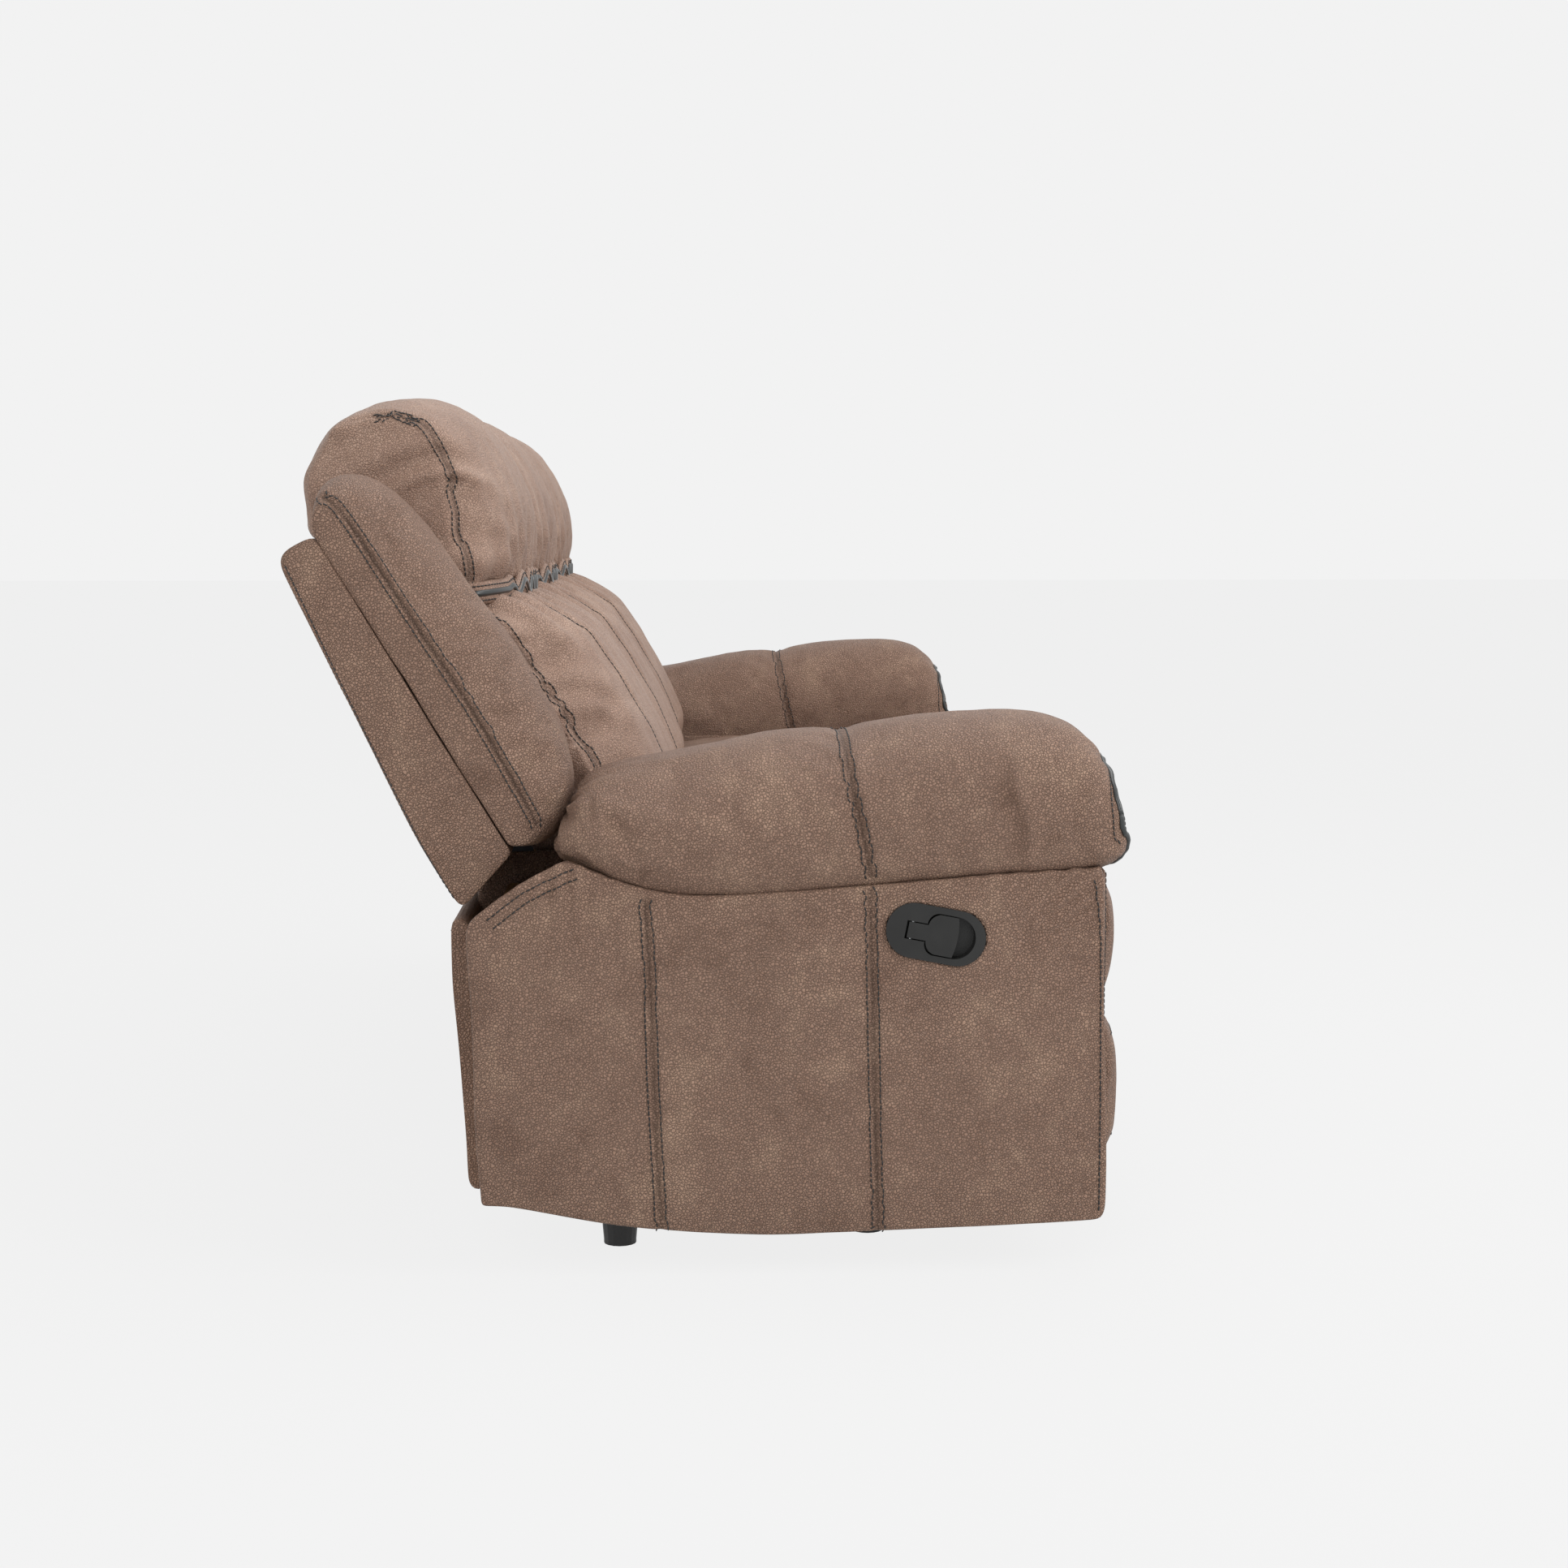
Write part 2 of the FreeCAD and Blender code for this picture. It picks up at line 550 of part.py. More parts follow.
def base():
    rails = []
    front = -330.0
    for seat_middle in (RIGHT_SEAT, -RIGHT_SEAT):
        start = seat_middle - RAIL - size("rail_thickness")
        upright = box(f"rail_upright_{len(rails)}", (start, front, size("rail_bottom")),
                      (start + size("rail_thickness"), front + size("rail_length"), RAIL_TOP),
                      {"Length": "Sizes.rail_thickness", "Width": "Sizes.rail_length",
                       "Height": "Sizes.rail_height"})
        foot_x = start - size("rail_foot_width") + size("rail_thickness")
        flat = box(f"rail_flat_{len(rails)}", (foot_x, front, size("rail_bottom")),
                   (start, front + size("rail_length"), size("rail_bottom") + size("rail_thickness")),
                   {"Length": "Sizes.rail_foot_width", "Width": "Sizes.rail_length",
                    "Height": "Sizes.rail_thickness"})
        pieces = [upright, flat]
        for number, pivot in enumerate((FRONT_CARRIER_PIVOT, REAR_CARRIER_PIVOT)):
            pieces += rivet(f"rail_rivet_{len(rails)}_{number}", pivot, RAIL, CARRIER, seat_middle)
        rails += twins(fused(f"base_rail_{len(rails)}", pieces), seat_middle)
    node("base_rails", rails)

    stretchers = []
    for name, front_depth in (("front_stretcher", -110.0), ("rear_stretcher", 200.0)):
        stretchers.append(box(name, (-ARM_INNER, front_depth, RAIL_TOP),
                              (ARM_INNER, front_depth + size("stretcher_width"), STRETCHER_TOP),
                              {"Width": "Sizes.stretcher_width", "Height": "Sizes.stretcher_width"}))
    node("stretchers", stretchers)

    feet = []
    rail_foot = RAIL + size("rail_foot_width") / 2
    places = [(ARM_OUTER - 150.0, 109.0, "", "arm_frame_bottom"),
              (ARM_INNER + size("arm_glide_inset"), -200.0, "", "arm_frame_bottom")]
    for across in (SEAT - rail_foot, SEAT + rail_foot):
        for depth in (front + size("rail_glide_front"), front + size("rail_length") - size("rail_glide_rear")):
            places.append((across, depth, "rail_", "rail_bottom"))
    for number, (across, depth, kind, underside) in enumerate(places):
        foot = shaped(f"glide_{number}", glide(size(kind + "glide_foot_radius"), size(kind + "glide_radius"),
                                               size(underside)))
        foot.Placement = Placement(Vector(-across, depth, 0), Rotation())
        feet += twins(foot, 0.0)
    node("glide_feet", feet)

    outside = [(283.0, 415.0), (281.0 + CLEAR, 411.0), ((276.0 + CLEAR, 240.0), (268.0 + CLEAR, 90.0)), (287.0, 92.0),
               ((297.0, 240.0), (304.0, 345.0)), (304.0, 411.0), ((297.0, 419.0), (283.0, 415.0))]
    half = ARM_OUTER - size("tailgate_inset")
    panel = side_plate("tailgate_piece", outside, -half, f"{2 * half}")
    node("tailgate_panel", [panel])


def seat_frame(label, middle_x):
    half = FRAME_HALF
    low, high = size("seat_frame_bottom"), SEAT_FRAME_TOP
    rail_inner = half - size("seat_rail_width")
    front, rear = SEAT_FRAME_FRONT, SEAT_FRAME_REAR
    front_rear = front + 30.0
    tall = {"Height": "Sizes.seat_frame_height"}
    pieces = [
        box(label + "_right_rail", (middle_x - half, front_rear, low), (middle_x - rail_inner, rear, high), tall),
        box(label + "_left_rail", (middle_x + rail_inner, front_rear, low), (middle_x + half, rear, high), tall),
        box(label + "_rear_rail", (middle_x - rail_inner, rear - 40.0, low), (middle_x + rail_inner, rear, high), tall),
    ]
    front_rail = box(label + "_front_rail", (middle_x - half, front, low), (middle_x + half, front_rear, high), tall)
    fascia_half = INNER_LINKS - 9.0
    fascia = box(label + "_fascia", (middle_x - fascia_half, front, 292.0), (middle_x + fascia_half, front_rear, low))
    pieces.append(fused(label + "_front", [front_rail, fascia]))
    return pieces


# The line of points moved sideways by a distance, with mitred corners.
def beside(points, distance):
    result = []
    for number, point in enumerate(points):
        before = towards(points[max(number - 1, 0)], points[max(number, 1)])
        after = towards(points[min(number, len(points) - 2)], points[min(number + 1, len(points) - 1)])
        share = 1 + before[0] * after[0] + before[1] * after[1]
        normal = (-(before[1] + after[1]) / share, (before[0] + after[0]) / share)
        result.append(along(point, normal, distance))
    return result


def springs(label, middle_x):
    front, rear = SEAT_FRAME_FRONT + 12.0, SEAT_FRAME_REAR - 12.0
    bends = 13
    pitch = (rear - front) / bends
    half_wire = 2.5
    half = size("spring_width") / 2
    line = [(front + pitch * step, half if step % 2 else -half) for step in range(bends + 1)]
    edge = beside(line, half_wire) + list(reversed(beside(line, -half_wire)))
    result = []
    for number, across in enumerate((-156.0, -52.0, 52.0, 156.0)):
        points = [Vector(middle_x + across + side, depth, SEAT_FRAME_TOP) for depth, side in edge]
        face = Part.Face(Part.makePolygon(points + [points[0]]))
        result.append(shaped(f"{label}_spring_{number}", face.extrude(Vector(0, 0, size("spring_thickness")))))
    return result


SEAT_PROFILE = [(218.0, SEAT_BASE), ((230.0, 415.0), (214.0, 440.0)), ((30.0, 464.0), (-150.0, 483.0)),
                ((-300.0, 491.0), (-440.0, 484.0)), ((-494.0, 470.0), (-512.0, 430.0)),
                ((-519.0, 350.0), (-511.0, 292.0)), ((-505.0, 280.0), (-490.0, 280.0)),
                (DROP_REAR, 293.0), (DROP_REAR, SEAT_BASE)]
SEAT_LINE = [(DROP_REAR, 293.0), (DROP_REAR, SEAT_BASE), (218.0, SEAT_BASE)]
PAD_PROFILE = [(PAD_REAR, 76.0), (PAD_REAR, 262.0), ((-490.0, 272.0), (-512.0, 256.0)),
               ((-527.0, 165.0), (-517.0, 84.0)), ((-490.0, 66.0), (PAD_REAR, 76.0))]
PAD_LINE = [(PAD_REAR, 90.0), (PAD_REAR, 250.0)]


# The point of the back plane at a height, a hair in front of the frame.
def on_back(height):
    climb = (height - BACK_PLANE_LOW[1]) / BACK_WAY[1]
    return along(along(BACK_PLANE_LOW, BACK_WAY, climb), BACK_REAR, -2 * CLEAR)


LUMBAR_PROFILE = [(212.0, 471.0), on_back(486.0), on_back(778.0), ((308.0, 806.0), (238.0, 796.0)),
                  ((128.0, 706.0), (46.0, 552.0)), ((27.0, 500.0), (42.0, 473.0)), (212.0, 471.0)]
HEAD_PROFILE = [on_back(787.0), on_back(870.0), (494.0, 862.0), ((502.0, 925.0), (484.0, 990.0)),
                ((420.0, 1030.0), (345.0, 1036.0)), ((262.0, 962.0), (230.0, 860.0)),
                ((228.0, 834.0), (240.0, 811.0)), (318.0, 812.0), on_back(787.0)]
LUMBAR_LINE = [on_back(486.0), on_back(778.0)]
HEAD_LINE = [on_back(787.0), on_back(870.0), (470.0, 900.0), (430.0, 980.0)]
WING_LINE = [on_back(488.0), on_back(866.0)]


def recliner():
    seat_x = RIGHT_SEAT

    def outer(distance, thickness):
        return seat_x - distance - size(thickness)

    for name, pivot, top in (("front", FRONT_CARRIER_PIVOT, FRONT_CARRIER_TOP),
                             ("rear", REAR_CARRIER_PIVOT, REAR_CARRIER_TOP)):
        link = side_plate(name + "_carrier", bar(pivot, top, HALF_LINK), outer(CARRIER, "link_thickness"), LINK,
                          plain_holes=[pivot, top])
        node_pair(name + "_carriers", twins(link))

    plate_shape = [(-380.0, 262.0), (-380.0, 314.0), ((-376.0, 326.0), (-362.0, 330.0)), (110.0, 330.0),
                   (206.0, 370.0), (256.0, 370.0), ((266.0, 362.0), (268.0, 350.0)), (205.0, 176.0),
                   ((184.0, 170.0), (162.0, 178.0)), (122.0, 250.0), (-92.0, 250.0), (-114.0, 180.0),
                   ((-137.0, 172.0), (-160.0, 180.0)), (-200.0, 246.0), (-366.0, 246.0)]
    plate = side_plate("seat_plate", plate_shape, outer(PLATE, "plate_thickness"), "Sizes.plate_thickness")
    flange_inner = FRAME_HALF - size("seat_rail_width")
    flange = box("seat_plate_flange", (seat_x - PLATE - size("plate_thickness"), -360.0, 330.0),
                 (seat_x - flange_inner, 110.0, size("seat_frame_bottom")))
    pieces = [plate, flange]
    for name, pivot in (("drive", DRIVE_PIVOT), ("guide", GUIDE_PIVOT), ("back", BACK_PIVOT)):
        pieces += rivet(name + "_rivet", pivot, PLATE, OUTER_LINKS, round_shank=pivot != GUIDE_PIVOT)
    for name, pivot in (("front_carrier", FRONT_CARRIER_TOP), ("rear_carrier", REAR_CARRIER_TOP)):
        pieces += rivet(name + "_rivet", pivot, PLATE + size("plate_thickness"), CARRIER + size("link_thickness"))
    node_pair("seat_plates", twins(fused("seat_plate_piece", pieces)))

    node_pair("seat_frame", seat_frame("recliner_seat", seat_x))
    node_pair("seat_springs", springs("recliner_seat", seat_x))
    seat_pad = cushion("seat_cushion_piece", SEAT_PROFILE, SEAT_LINE, seat_x, SOFT_HALF, FLAT_CROWN)
    node_pair("seat_cushion", [seat_pad])

    outer_start = outer(OUTER_LINKS, "link_thickness")
    inner_start = outer(INNER_LINKS, "link_thickness")
    drive = side_plate("drive_link", bar(DRIVE_PIVOT, DRIVE_END, HALF_LINK), outer_start, LINK,
                       [(DRIVE_PIVOT, RIVET_HOLE)])
    drive_rivet = rivet("drive_end_rivet", DRIVE_END, OUTER_LINKS, INNER_LINKS)
    welded = twins(fused("drive_link_piece", [drive] + drive_rivet))
    tube = rod("drive_tube", seat_x - OUTER_LINKS, seat_x + OUTER_LINKS, *DRIVE_TUBE, "drive_tube_radius")
    node_pair("drive_links", [fused("drive_linkage", welded + [tube])])

    guide = side_plate("guide_link", bar(GUIDE_PIVOT, GUIDE_END, HALF_LINK), outer_start, LINK,
                       plain_holes=[GUIDE_PIVOT])
    guide_rivets = rivet("guide_crossing_rivet", GUIDE_CROSSING, OUTER_LINKS, INNER_LINKS)
    guide_rivets += rivet("guide_end_rivet", GUIDE_END, OUTER_LINKS, INNER_LINKS)
    node_pair("guide_links", twins(fused("guide_link_piece", [guide] + guide_rivets)))

    carry_middle = along(DRIVE_END, CARRY_WAY, PIVOT_SPACING)
    carry = side_plate("carry_link", bar(DRIVE_END, FOOTREST_PIVOT, HALF_LINK), inner_start, LINK,
                       plain_holes=[DRIVE_END, carry_middle, FOOTREST_PIVOT])
    node_pair("carry_links", twins(carry))
    tilt_link = side_plate("tilt_link", bar(GUIDE_END, FOOTREST_TILT_PIVOT, HALF_LINK), inner_start, LINK,
                           plain_holes=[GUIDE_END, FOOTREST_TILT_PIVOT])
    node_pair("tilt_links", twins(tilt_link))

    rear = FOOTREST_BOARD_REAR
    bracket_shape = [(rear, 96.0), (rear, 198.0), (-430.0, 187.0), (-412.0, 178.0), (-398.0, 126.0),
                     (-402.0, 108.0), (-420.0, 102.0)]
    bracket = side_plate("bracket_plate", bracket_shape, outer_start, LINK)
    flange = box("bracket_flange_piece", (outer_start - size("bracket_flange"), rear, 96.0),
                 (outer_start, rear + 3.0, 198.0), {"Length": "Sizes.bracket_flange"})
    bracket_pieces = [bracket, flange]
    bracket_pieces += rivet("footrest_rivet", FOOTREST_PIVOT, OUTER_LINKS, INNER_LINKS)
    bracket_pieces += rivet("footrest_tilt_rivet", FOOTREST_TILT_PIVOT, OUTER_LINKS, INNER_LINKS)
    node_pair("footrest_brackets", twins(fused("footrest_bracket_piece", bracket_pieces)))
    board_half = OUTER_LINKS + size("bracket_flange") + 4.0
    board = box("footrest_board_piece", (seat_x - board_half, rear - size("footrest_board_thickness"), 80.0),
                (seat_x + board_half, rear, 260.0), {"Width": "Sizes.footrest_board_thickness"})
    node_pair("footrest_board", [board])
    pad = cushion("footrest_pad_piece", PAD_PROFILE, PAD_LINE, seat_x, SOFT_HALF - 2.0, FLAT_CROWN)
    node_pair("footrest_pad", [pad])

    hinge = side_plate("back_hinge", bar(BACK_PIVOT, HINGE_TOP, size("back_hinge_width") / 2), outer_start, LINK,
                       [(BACK_PIVOT, RIVET_HOLE)])
    node_pair("back_hinges", twins(hinge))


def shell_outline():
    return [(293.0, 434.0), (489.0, 824.0), ((497.0, 844.0), (484.0, 855.0)), (455.0, 868.0),
            (396.0, 768.0), (315.0, 633.0), BACK_PLANE_LOW, (278.0, 444.0), ((286.0, 436.0), (293.0, 434.0))]


def back_shell(label, low_x, high_x, slots):
    body = side_plate(label, shell_outline(), low_x, f"{high_x - low_x}")
    wall = size("shell_wall")
    low = along(BACK_PLANE_LOW, BACK_WAY, wall)
    high = along(BACK_PLANE_HIGH, BACK_WAY, -wall)
    front, rear = -5.0, size("back_post_depth") + 2.0
    cavity = [along(low, BACK_REAR, front), along(high, BACK_REAR, front), along(high, BACK_REAR, rear),
              along(low, BACK_REAR, rear)]
    hollow = side_plate(label + "_hollow", cavity, low_x + wall, f"{high_x - low_x} - 2 * Sizes.shell_wall")
    return cut(label + "_piece", body, fused(label + "_spaces", [hollow] + slots))


# A ladder of posts and rails. Its legs, where it has them, stand on the rear face of the seat frame.
def back_frame(label, middle_x, low_x, high_x, post_places, leg_places=()):
    depth = size("back_post_depth")
    inset = size("shell_wall") + 2 * CLEAR
    low = along(BACK_PLANE_LOW, BACK_WAY, inset)
    high = along(BACK_PLANE_HIGH, BACK_WAY, -inset)

    def slab(start, end):
        return [start, end, along(end, BACK_REAR, depth), along(start, BACK_REAR, depth)]

    width = size("back_post_width")
    pieces = []
    for number, across in enumerate(post_places):
        pieces.append(side_plate(f"{label}_post_{number}", slab(low, high), middle_x + across - width / 2,
                                 "Sizes.back_post_width"))
    middle = 170.0
    for name, start, end in (("bottom", low, along(low, BACK_WAY, width)),
                             ("middle", along(low, BACK_WAY, middle), along(low, BACK_WAY, middle + width)),
                             ("top", along(high, BACK_WAY, -width), high)):
        pieces.append(side_plate(f"{label}_{name}_rail", slab(start, end), low_x, f"{high_x - low_x}"))
    for number, across in enumerate(leg_places):
        pieces.append(side_plate(f"{label}_leg_{number}", leg_outline(0.0), middle_x + across - width / 2,
                                 "Sizes.back_post_width"))
    return fused(label + "_piece", pieces)


def leg_outline(spare):
    inset = size("shell_wall") + 2 * CLEAR
    low = along(BACK_PLANE_LOW, BACK_WAY, inset)
    rear = SEAT_FRAME_REAR + size("leg_foot_depth")
    foot = size("seat_frame_bottom") + 7.0
    return [(SEAT_FRAME_REAR - spare, foot), (rear + spare, foot),
            along(low, BACK_REAR, size("back_post_depth") + spare), along(low, BACK_REAR, -spare)]


def leg_slots(label, places):
    width = size("back_post_width")
    return [side_plate(f"{label}_{number}", leg_outline(CLEAR), across - width / 2 - CLEAR,
                       "Sizes.back_post_width + 2 * Sizes.clearance") for number, across in enumerate(places)]


def hinge_slots(label):
    slot = side_plate(label, bar(BACK_PIVOT, HINGE_TOP, size("back_hinge_width") / 2 + CLEAR),
                      RIGHT_SEAT - OUTER_LINKS - size("link_thickness") - CLEAR,
                      "Sizes.link_thickness + 2 * Sizes.clearance")
    return twins(slot)


def backs():
    gap = size("side_gap")
    shell_low = -ARM_OUTER + size("wing_inset")
    shell_high = RIGHT_SEAT + SEAT / 2 - gap
    node_pair("back_shell", [back_shell("recliner_shell", shell_low, shell_high, hinge_slots("shell_slot"))])
    wall = size("shell_wall") + 2 * CLEAR
    inner_post = OUTER_LINKS - size("back_post_width") / 2
    outer_post = shell_low + wall + 25.0 - RIGHT_SEAT
    frame = back_frame("recliner_back", RIGHT_SEAT, shell_low + wall, shell_high - wall,
                       (-inner_post, inner_post, outer_post))
    node_pair("back_frame", [cut("recliner_back_slotted", frame, fused("frame_slots", hinge_slots("frame_slot")))])
    lumbar = cushion("lumbar_piece", LUMBAR_PROFILE, LUMBAR_LINE, RIGHT_SEAT, SOFT_HALF, DEEP_CROWN)
    node_pair("lumbar_cushion", [lumbar])
    head = cushion("head_piece", HEAD_PROFILE, HEAD_LINE, RIGHT_SEAT, SOFT_HALF, DEEP_CROWN)
    node_pair("head_cushion", [head])

    wing_shape = [on_back(488.0), on_back(779.0), on_back(866.0), ((463.0, 900.0), (450.0, 932.0)),
                  ((428.0, 942.0), (400.0, 934.0)), (352.0, 890.0), ((234.0, 728.0), (172.0, 606.0)),
                  ((165.0, 560.0), (190.0, 508.0)), ((204.0, 492.0), on_back(488.0))]
    wing_half = size("wing_width") / 2
    wing_x = shell_low + wing_half
    crown = [(-1.0, 0.955), (-0.9, 0.99), (-0.6, 1.0), (0.4, 1.0), (0.85, 0.97), (1.0, 0.9)]
    wing = cushion("wing_piece", wing_shape, WING_LINE, wing_x, wing_half, crown)
    node_pair("wing", [wing])


def middle_seat():
    thick = size("footrest_board_thickness")
    front_top = 278.0
    side_shape = [(FOOTREST_BOARD_REAR, STRETCHER_TOP), (FOOTREST_BOARD_REAR, front_top),
                  (SEAT_FRAME_FRONT, front_top), (SEAT_FRAME_FRONT, size("seat_frame_bottom")),
                  (SEAT_FRAME_REAR, size("seat_frame_bottom")), (SEAT_FRAME_REAR, STRETCHER_TOP)]
    boards = twins(side_plate("middle_side_board", side_shape, -FRAME_HALF, "Sizes.footrest_board_thickness"), 0.0)
    boards.append(box("middle_front_board", (-FRAME_HALF, FOOTREST_BOARD_REAR - thick, 80.0),
                      (FRAME_HALF, FOOTREST_BOARD_REAR, front_top), {"Width": "Sizes.footrest_board_thickness"}))
    node("middle_seat_frame", seat_frame("middle_seat", 0.0) + boards + springs("middle_seat", 0.0))
    seat_pad = cushion("middle_seat_piece", SEAT_PROFILE, SEAT_LINE, 0.0, SOFT_HALF, FLAT_CROWN)
    node("middle_seat_cushion", [seat_pad])
    lower_pad = cushion("middle_pad_piece", PAD_PROFILE, PAD_LINE, 0.0, SOFT_HALF - 2.0, FLAT_CROWN)
    node("middle_lower_pad", [lower_pad])
    inner_post = OUTER_LINKS - size("back_post_width") / 2
    posts = (-inner_post, inner_post)
    node("middle_back_shell", [back_shell("middle_shell", -SOFT_HALF, SOFT_HALF, leg_slots("leg_slot", posts))])
    wall = size("shell_wall") + 2 * CLEAR
    node("middle_back_frame", [back_frame("middle_back", 0.0, -SOFT_HALF + wall, SOFT_HALF - wall, posts, posts)])
    lumbar = cushion("middle_lumbar", LUMBAR_PROFILE, LUMBAR_LINE, 0.0, SOFT_HALF, DEEP_CROWN)
    node("middle_lumbar_cushion", [lumbar])
    node("middle_head_cushion", [cushion("middle_head", HEAD_PROFILE, HEAD_LINE, 0.0, SOFT_HALF, DEEP_CROWN)])


arms()
lever_pivot, lever_axis = levers()
base()
recliner()
backs()
middle_seat()

doc.recompute()
for item in doc.Objects:
    if "Invalid" in item.State or "Error" in item.State:
        raise RuntimeError(f"{item.Label} failed: {item.State}")
os.makedirs("parts", exist_ok=True)
for group in nodes:
    if group.Shape.isNull() or not group.Shape.isValid():
        raise RuntimeError(f"{group.Label} has no valid shape")
for group in nodes:
    group.Shape.exportStep(os.path.join("parts", group.Label + ".step"))
print(len(nodes), "nodes; lever pivot", lever_pivot, "axis", lever_axis)
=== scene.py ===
import itertools
import json
import math

import bmesh
import bpy
import numpy as np
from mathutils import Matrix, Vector
from mathutils.bvhtree import BVHTree


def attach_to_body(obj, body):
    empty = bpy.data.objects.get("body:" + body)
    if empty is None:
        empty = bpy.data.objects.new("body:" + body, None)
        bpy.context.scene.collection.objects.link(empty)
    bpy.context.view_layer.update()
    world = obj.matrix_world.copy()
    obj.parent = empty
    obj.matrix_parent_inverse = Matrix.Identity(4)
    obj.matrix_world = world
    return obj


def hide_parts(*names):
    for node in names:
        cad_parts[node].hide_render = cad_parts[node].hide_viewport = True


bl_info = {
    "name": "Reclining sofa",
    "version": (1, 0, 0),
    "blender": (4, 5, 0),
    "location": "View3D > Sidebar > Sofa",
    "description": "Dresses the frame of a three-seat reclining sofa in padded leather with black stitching",
    "category": "Object",
}

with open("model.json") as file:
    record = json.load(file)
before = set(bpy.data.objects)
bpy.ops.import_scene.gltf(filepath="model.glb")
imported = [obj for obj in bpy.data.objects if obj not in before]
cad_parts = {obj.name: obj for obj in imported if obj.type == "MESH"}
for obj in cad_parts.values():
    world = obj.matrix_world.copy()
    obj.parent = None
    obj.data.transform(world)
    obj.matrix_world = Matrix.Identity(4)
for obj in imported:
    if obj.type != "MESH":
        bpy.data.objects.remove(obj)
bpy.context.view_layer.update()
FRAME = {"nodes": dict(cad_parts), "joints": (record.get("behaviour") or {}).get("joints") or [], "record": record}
JOINTS = {joint["name"]: joint for joint in FRAME["joints"]}
# Depths in this file are measured from the middle of the arm, in millimetres, and grow towards the rear.
SHIFT = JOINTS["right_footrest_fold"]["pos_m"][1] + 0.297
SEAT = 585.0
HALF_SEAT = 290.0

# The plane that the back cushions rest on, in depth and height.
BACK_LOW = np.array((230.0, 497.0))
BACK_WAY = np.array((225.0, 371.0)) / math.hypot(225.0, 371.0)
BACK_OUT = np.array((-0.855, 0.518))

ARM_MIDDLE = -1003.0  # The middle of the near arm, across.
ARM_FACE = -1119.0  # Just outside the near arm's side leather, where its seams are drawn.
END_EDGES = 24  # More edges than this meet only at the middle of a piece's end.
FILL_FRAMES = 20  # How long Blender's cloth takes to fill a cover.
FLOOR_SHOWN = 0.94  # The share of the floor's own colour in view. The rest takes the shadow.
ROOM_LIGHT = 0.62

# The camera that took the photo, in metres.
CAMERA_PLACE = (-4.0539, 0.0321 + SHIFT, 0.8770)
CAMERA_WAY = (0.99421, -0.04051, -0.09952)
CAMERA_LENS = 58.54

# Seams that run across the seats, as depth and height.
LUMBAR_TOP, LUMBAR_LOW = (240, 796), (44, 472)
HEAD_TOP, HEAD_LOW = (392, 1033), (242, 811)
SEAT_FRONT = (-440, 480)

# The lever's bezel: its middle, its lean in radians, half its straight length and the radius behind it.
BEZEL_MIDDLE, BEZEL_LEAN, BEZEL_HALF, BEZEL_REACH = (-265.0, 406.0), 0.192, 27.0, 30.5

ROLL_WAIST = 0.38  # How far up the arm roll is widest, as a share of its height.
TWIN_ROWS = (-7, 7)  # Two rows of stitches, beside a seam.
CLOSE_ROWS = (-6, 6)


def on_back(height):
    point = BACK_LOW + BACK_WAY * (height - BACK_LOW[1]) / BACK_WAY[1]
    return (float(point[0]) - 0.6, float(point[1]) + 0.4)


def metres(points):
    points = np.array(points, float) / 1000
    points[..., 1] += SHIFT
    return points


def side_line(across, places, count):
    """A smooth line in a plane across the sofa, through places given as depth and height."""
    return metres(np.column_stack([np.full(count, across), smooth(places, count)]))


def cross_line(middle, reach, depth, height, count):
    """A straight line across a seat."""
    return metres([(middle + across, depth, height) for across in np.linspace(-reach, reach, count)])


def smooth(points, count, closed=False):
    """Evenly spaced points of a smooth curve through the given ones. A point given twice is a corner."""
    points = [np.array(point, float) for point in points]
    if closed:
        points.append(points[0])
    runs = [[points[0]]]
    for before, point in zip(points, points[1:]):
        if np.allclose(before, point):
            runs.append([point])
        else:
            runs[-1].append(point)
    dense = []
    share = np.linspace(0, 1, 24, endpoint=False)[:, None]
    for run in runs:
        if len(run) < 2:
            continue
        run = np.array(run)
        ends = np.vstack([2 * run[0] - run[1], run, 2 * run[-1] - run[-2]])
        for a, b, c, d in zip(ends, ends[1:], ends[2:], ends[3:]):
            slope = np.clip(np.linalg.norm(c - b) / max(np.linalg.norm(b - a), 1e-6), 0, 1)
            a = b + (a - b) * slope
            slope = np.clip(np.linalg.norm(c - b) / max(np.linalg.norm(d - c), 1e-6), 0, 1)
            d = c + (d - c) * slope
            cubic = 2 * b + (c - a) * share + (2 * a - 5 * b + 4 * c - d) * share ** 2
            dense.append(0.5 * (cubic + (3 * b - a - 3 * c + d) * share ** 3))
    dense.append(points[-1][None])
    dense = np.vstack(dense)
    along = np.r_[0, np.cumsum(np.linalg.norm(np.diff(dense, axis=0), axis=1))]
    marks = np.linspace(0, along[-1], count + closed)[:count]
    return np.column_stack([np.interp(marks, along, column) for column in dense.T])


def length(points, closed=False):
    points = np.array(points, float)
    if closed:
        points = np.vstack([points, points[:1]])
    return float(np.linalg.norm(np.diff(points, axis=0), axis=1).sum())


def noise(points, size, seed):
    """Smooth values from -1 to 1 that change over the given size. The same seed gives the same values."""
    scaled = np.asarray(points, float) / size
    cell = np.floor(scaled).astype(np.int64)
    part = scaled - cell
    part = part * part * (3 - 2 * part)
    total = np.zeros(len(scaled))
    for corner in itertools.product((0, 1), repeat=3):
        where = cell + corner
        mixed = where[:, 0] * 73856093 ^ where[:, 1] * 19349663 ^ where[:, 2] * 83492791 ^ seed * 2654435
        mixed = (mixed ^ (mixed >> 13)) * 1274126177
        value = ((mixed ^ (mixed >> 16)) & 0xFFFF) / 32767.5 - 1
        total += value * np.prod(np.where(corner, part, 1 - part), axis=1)
    return total


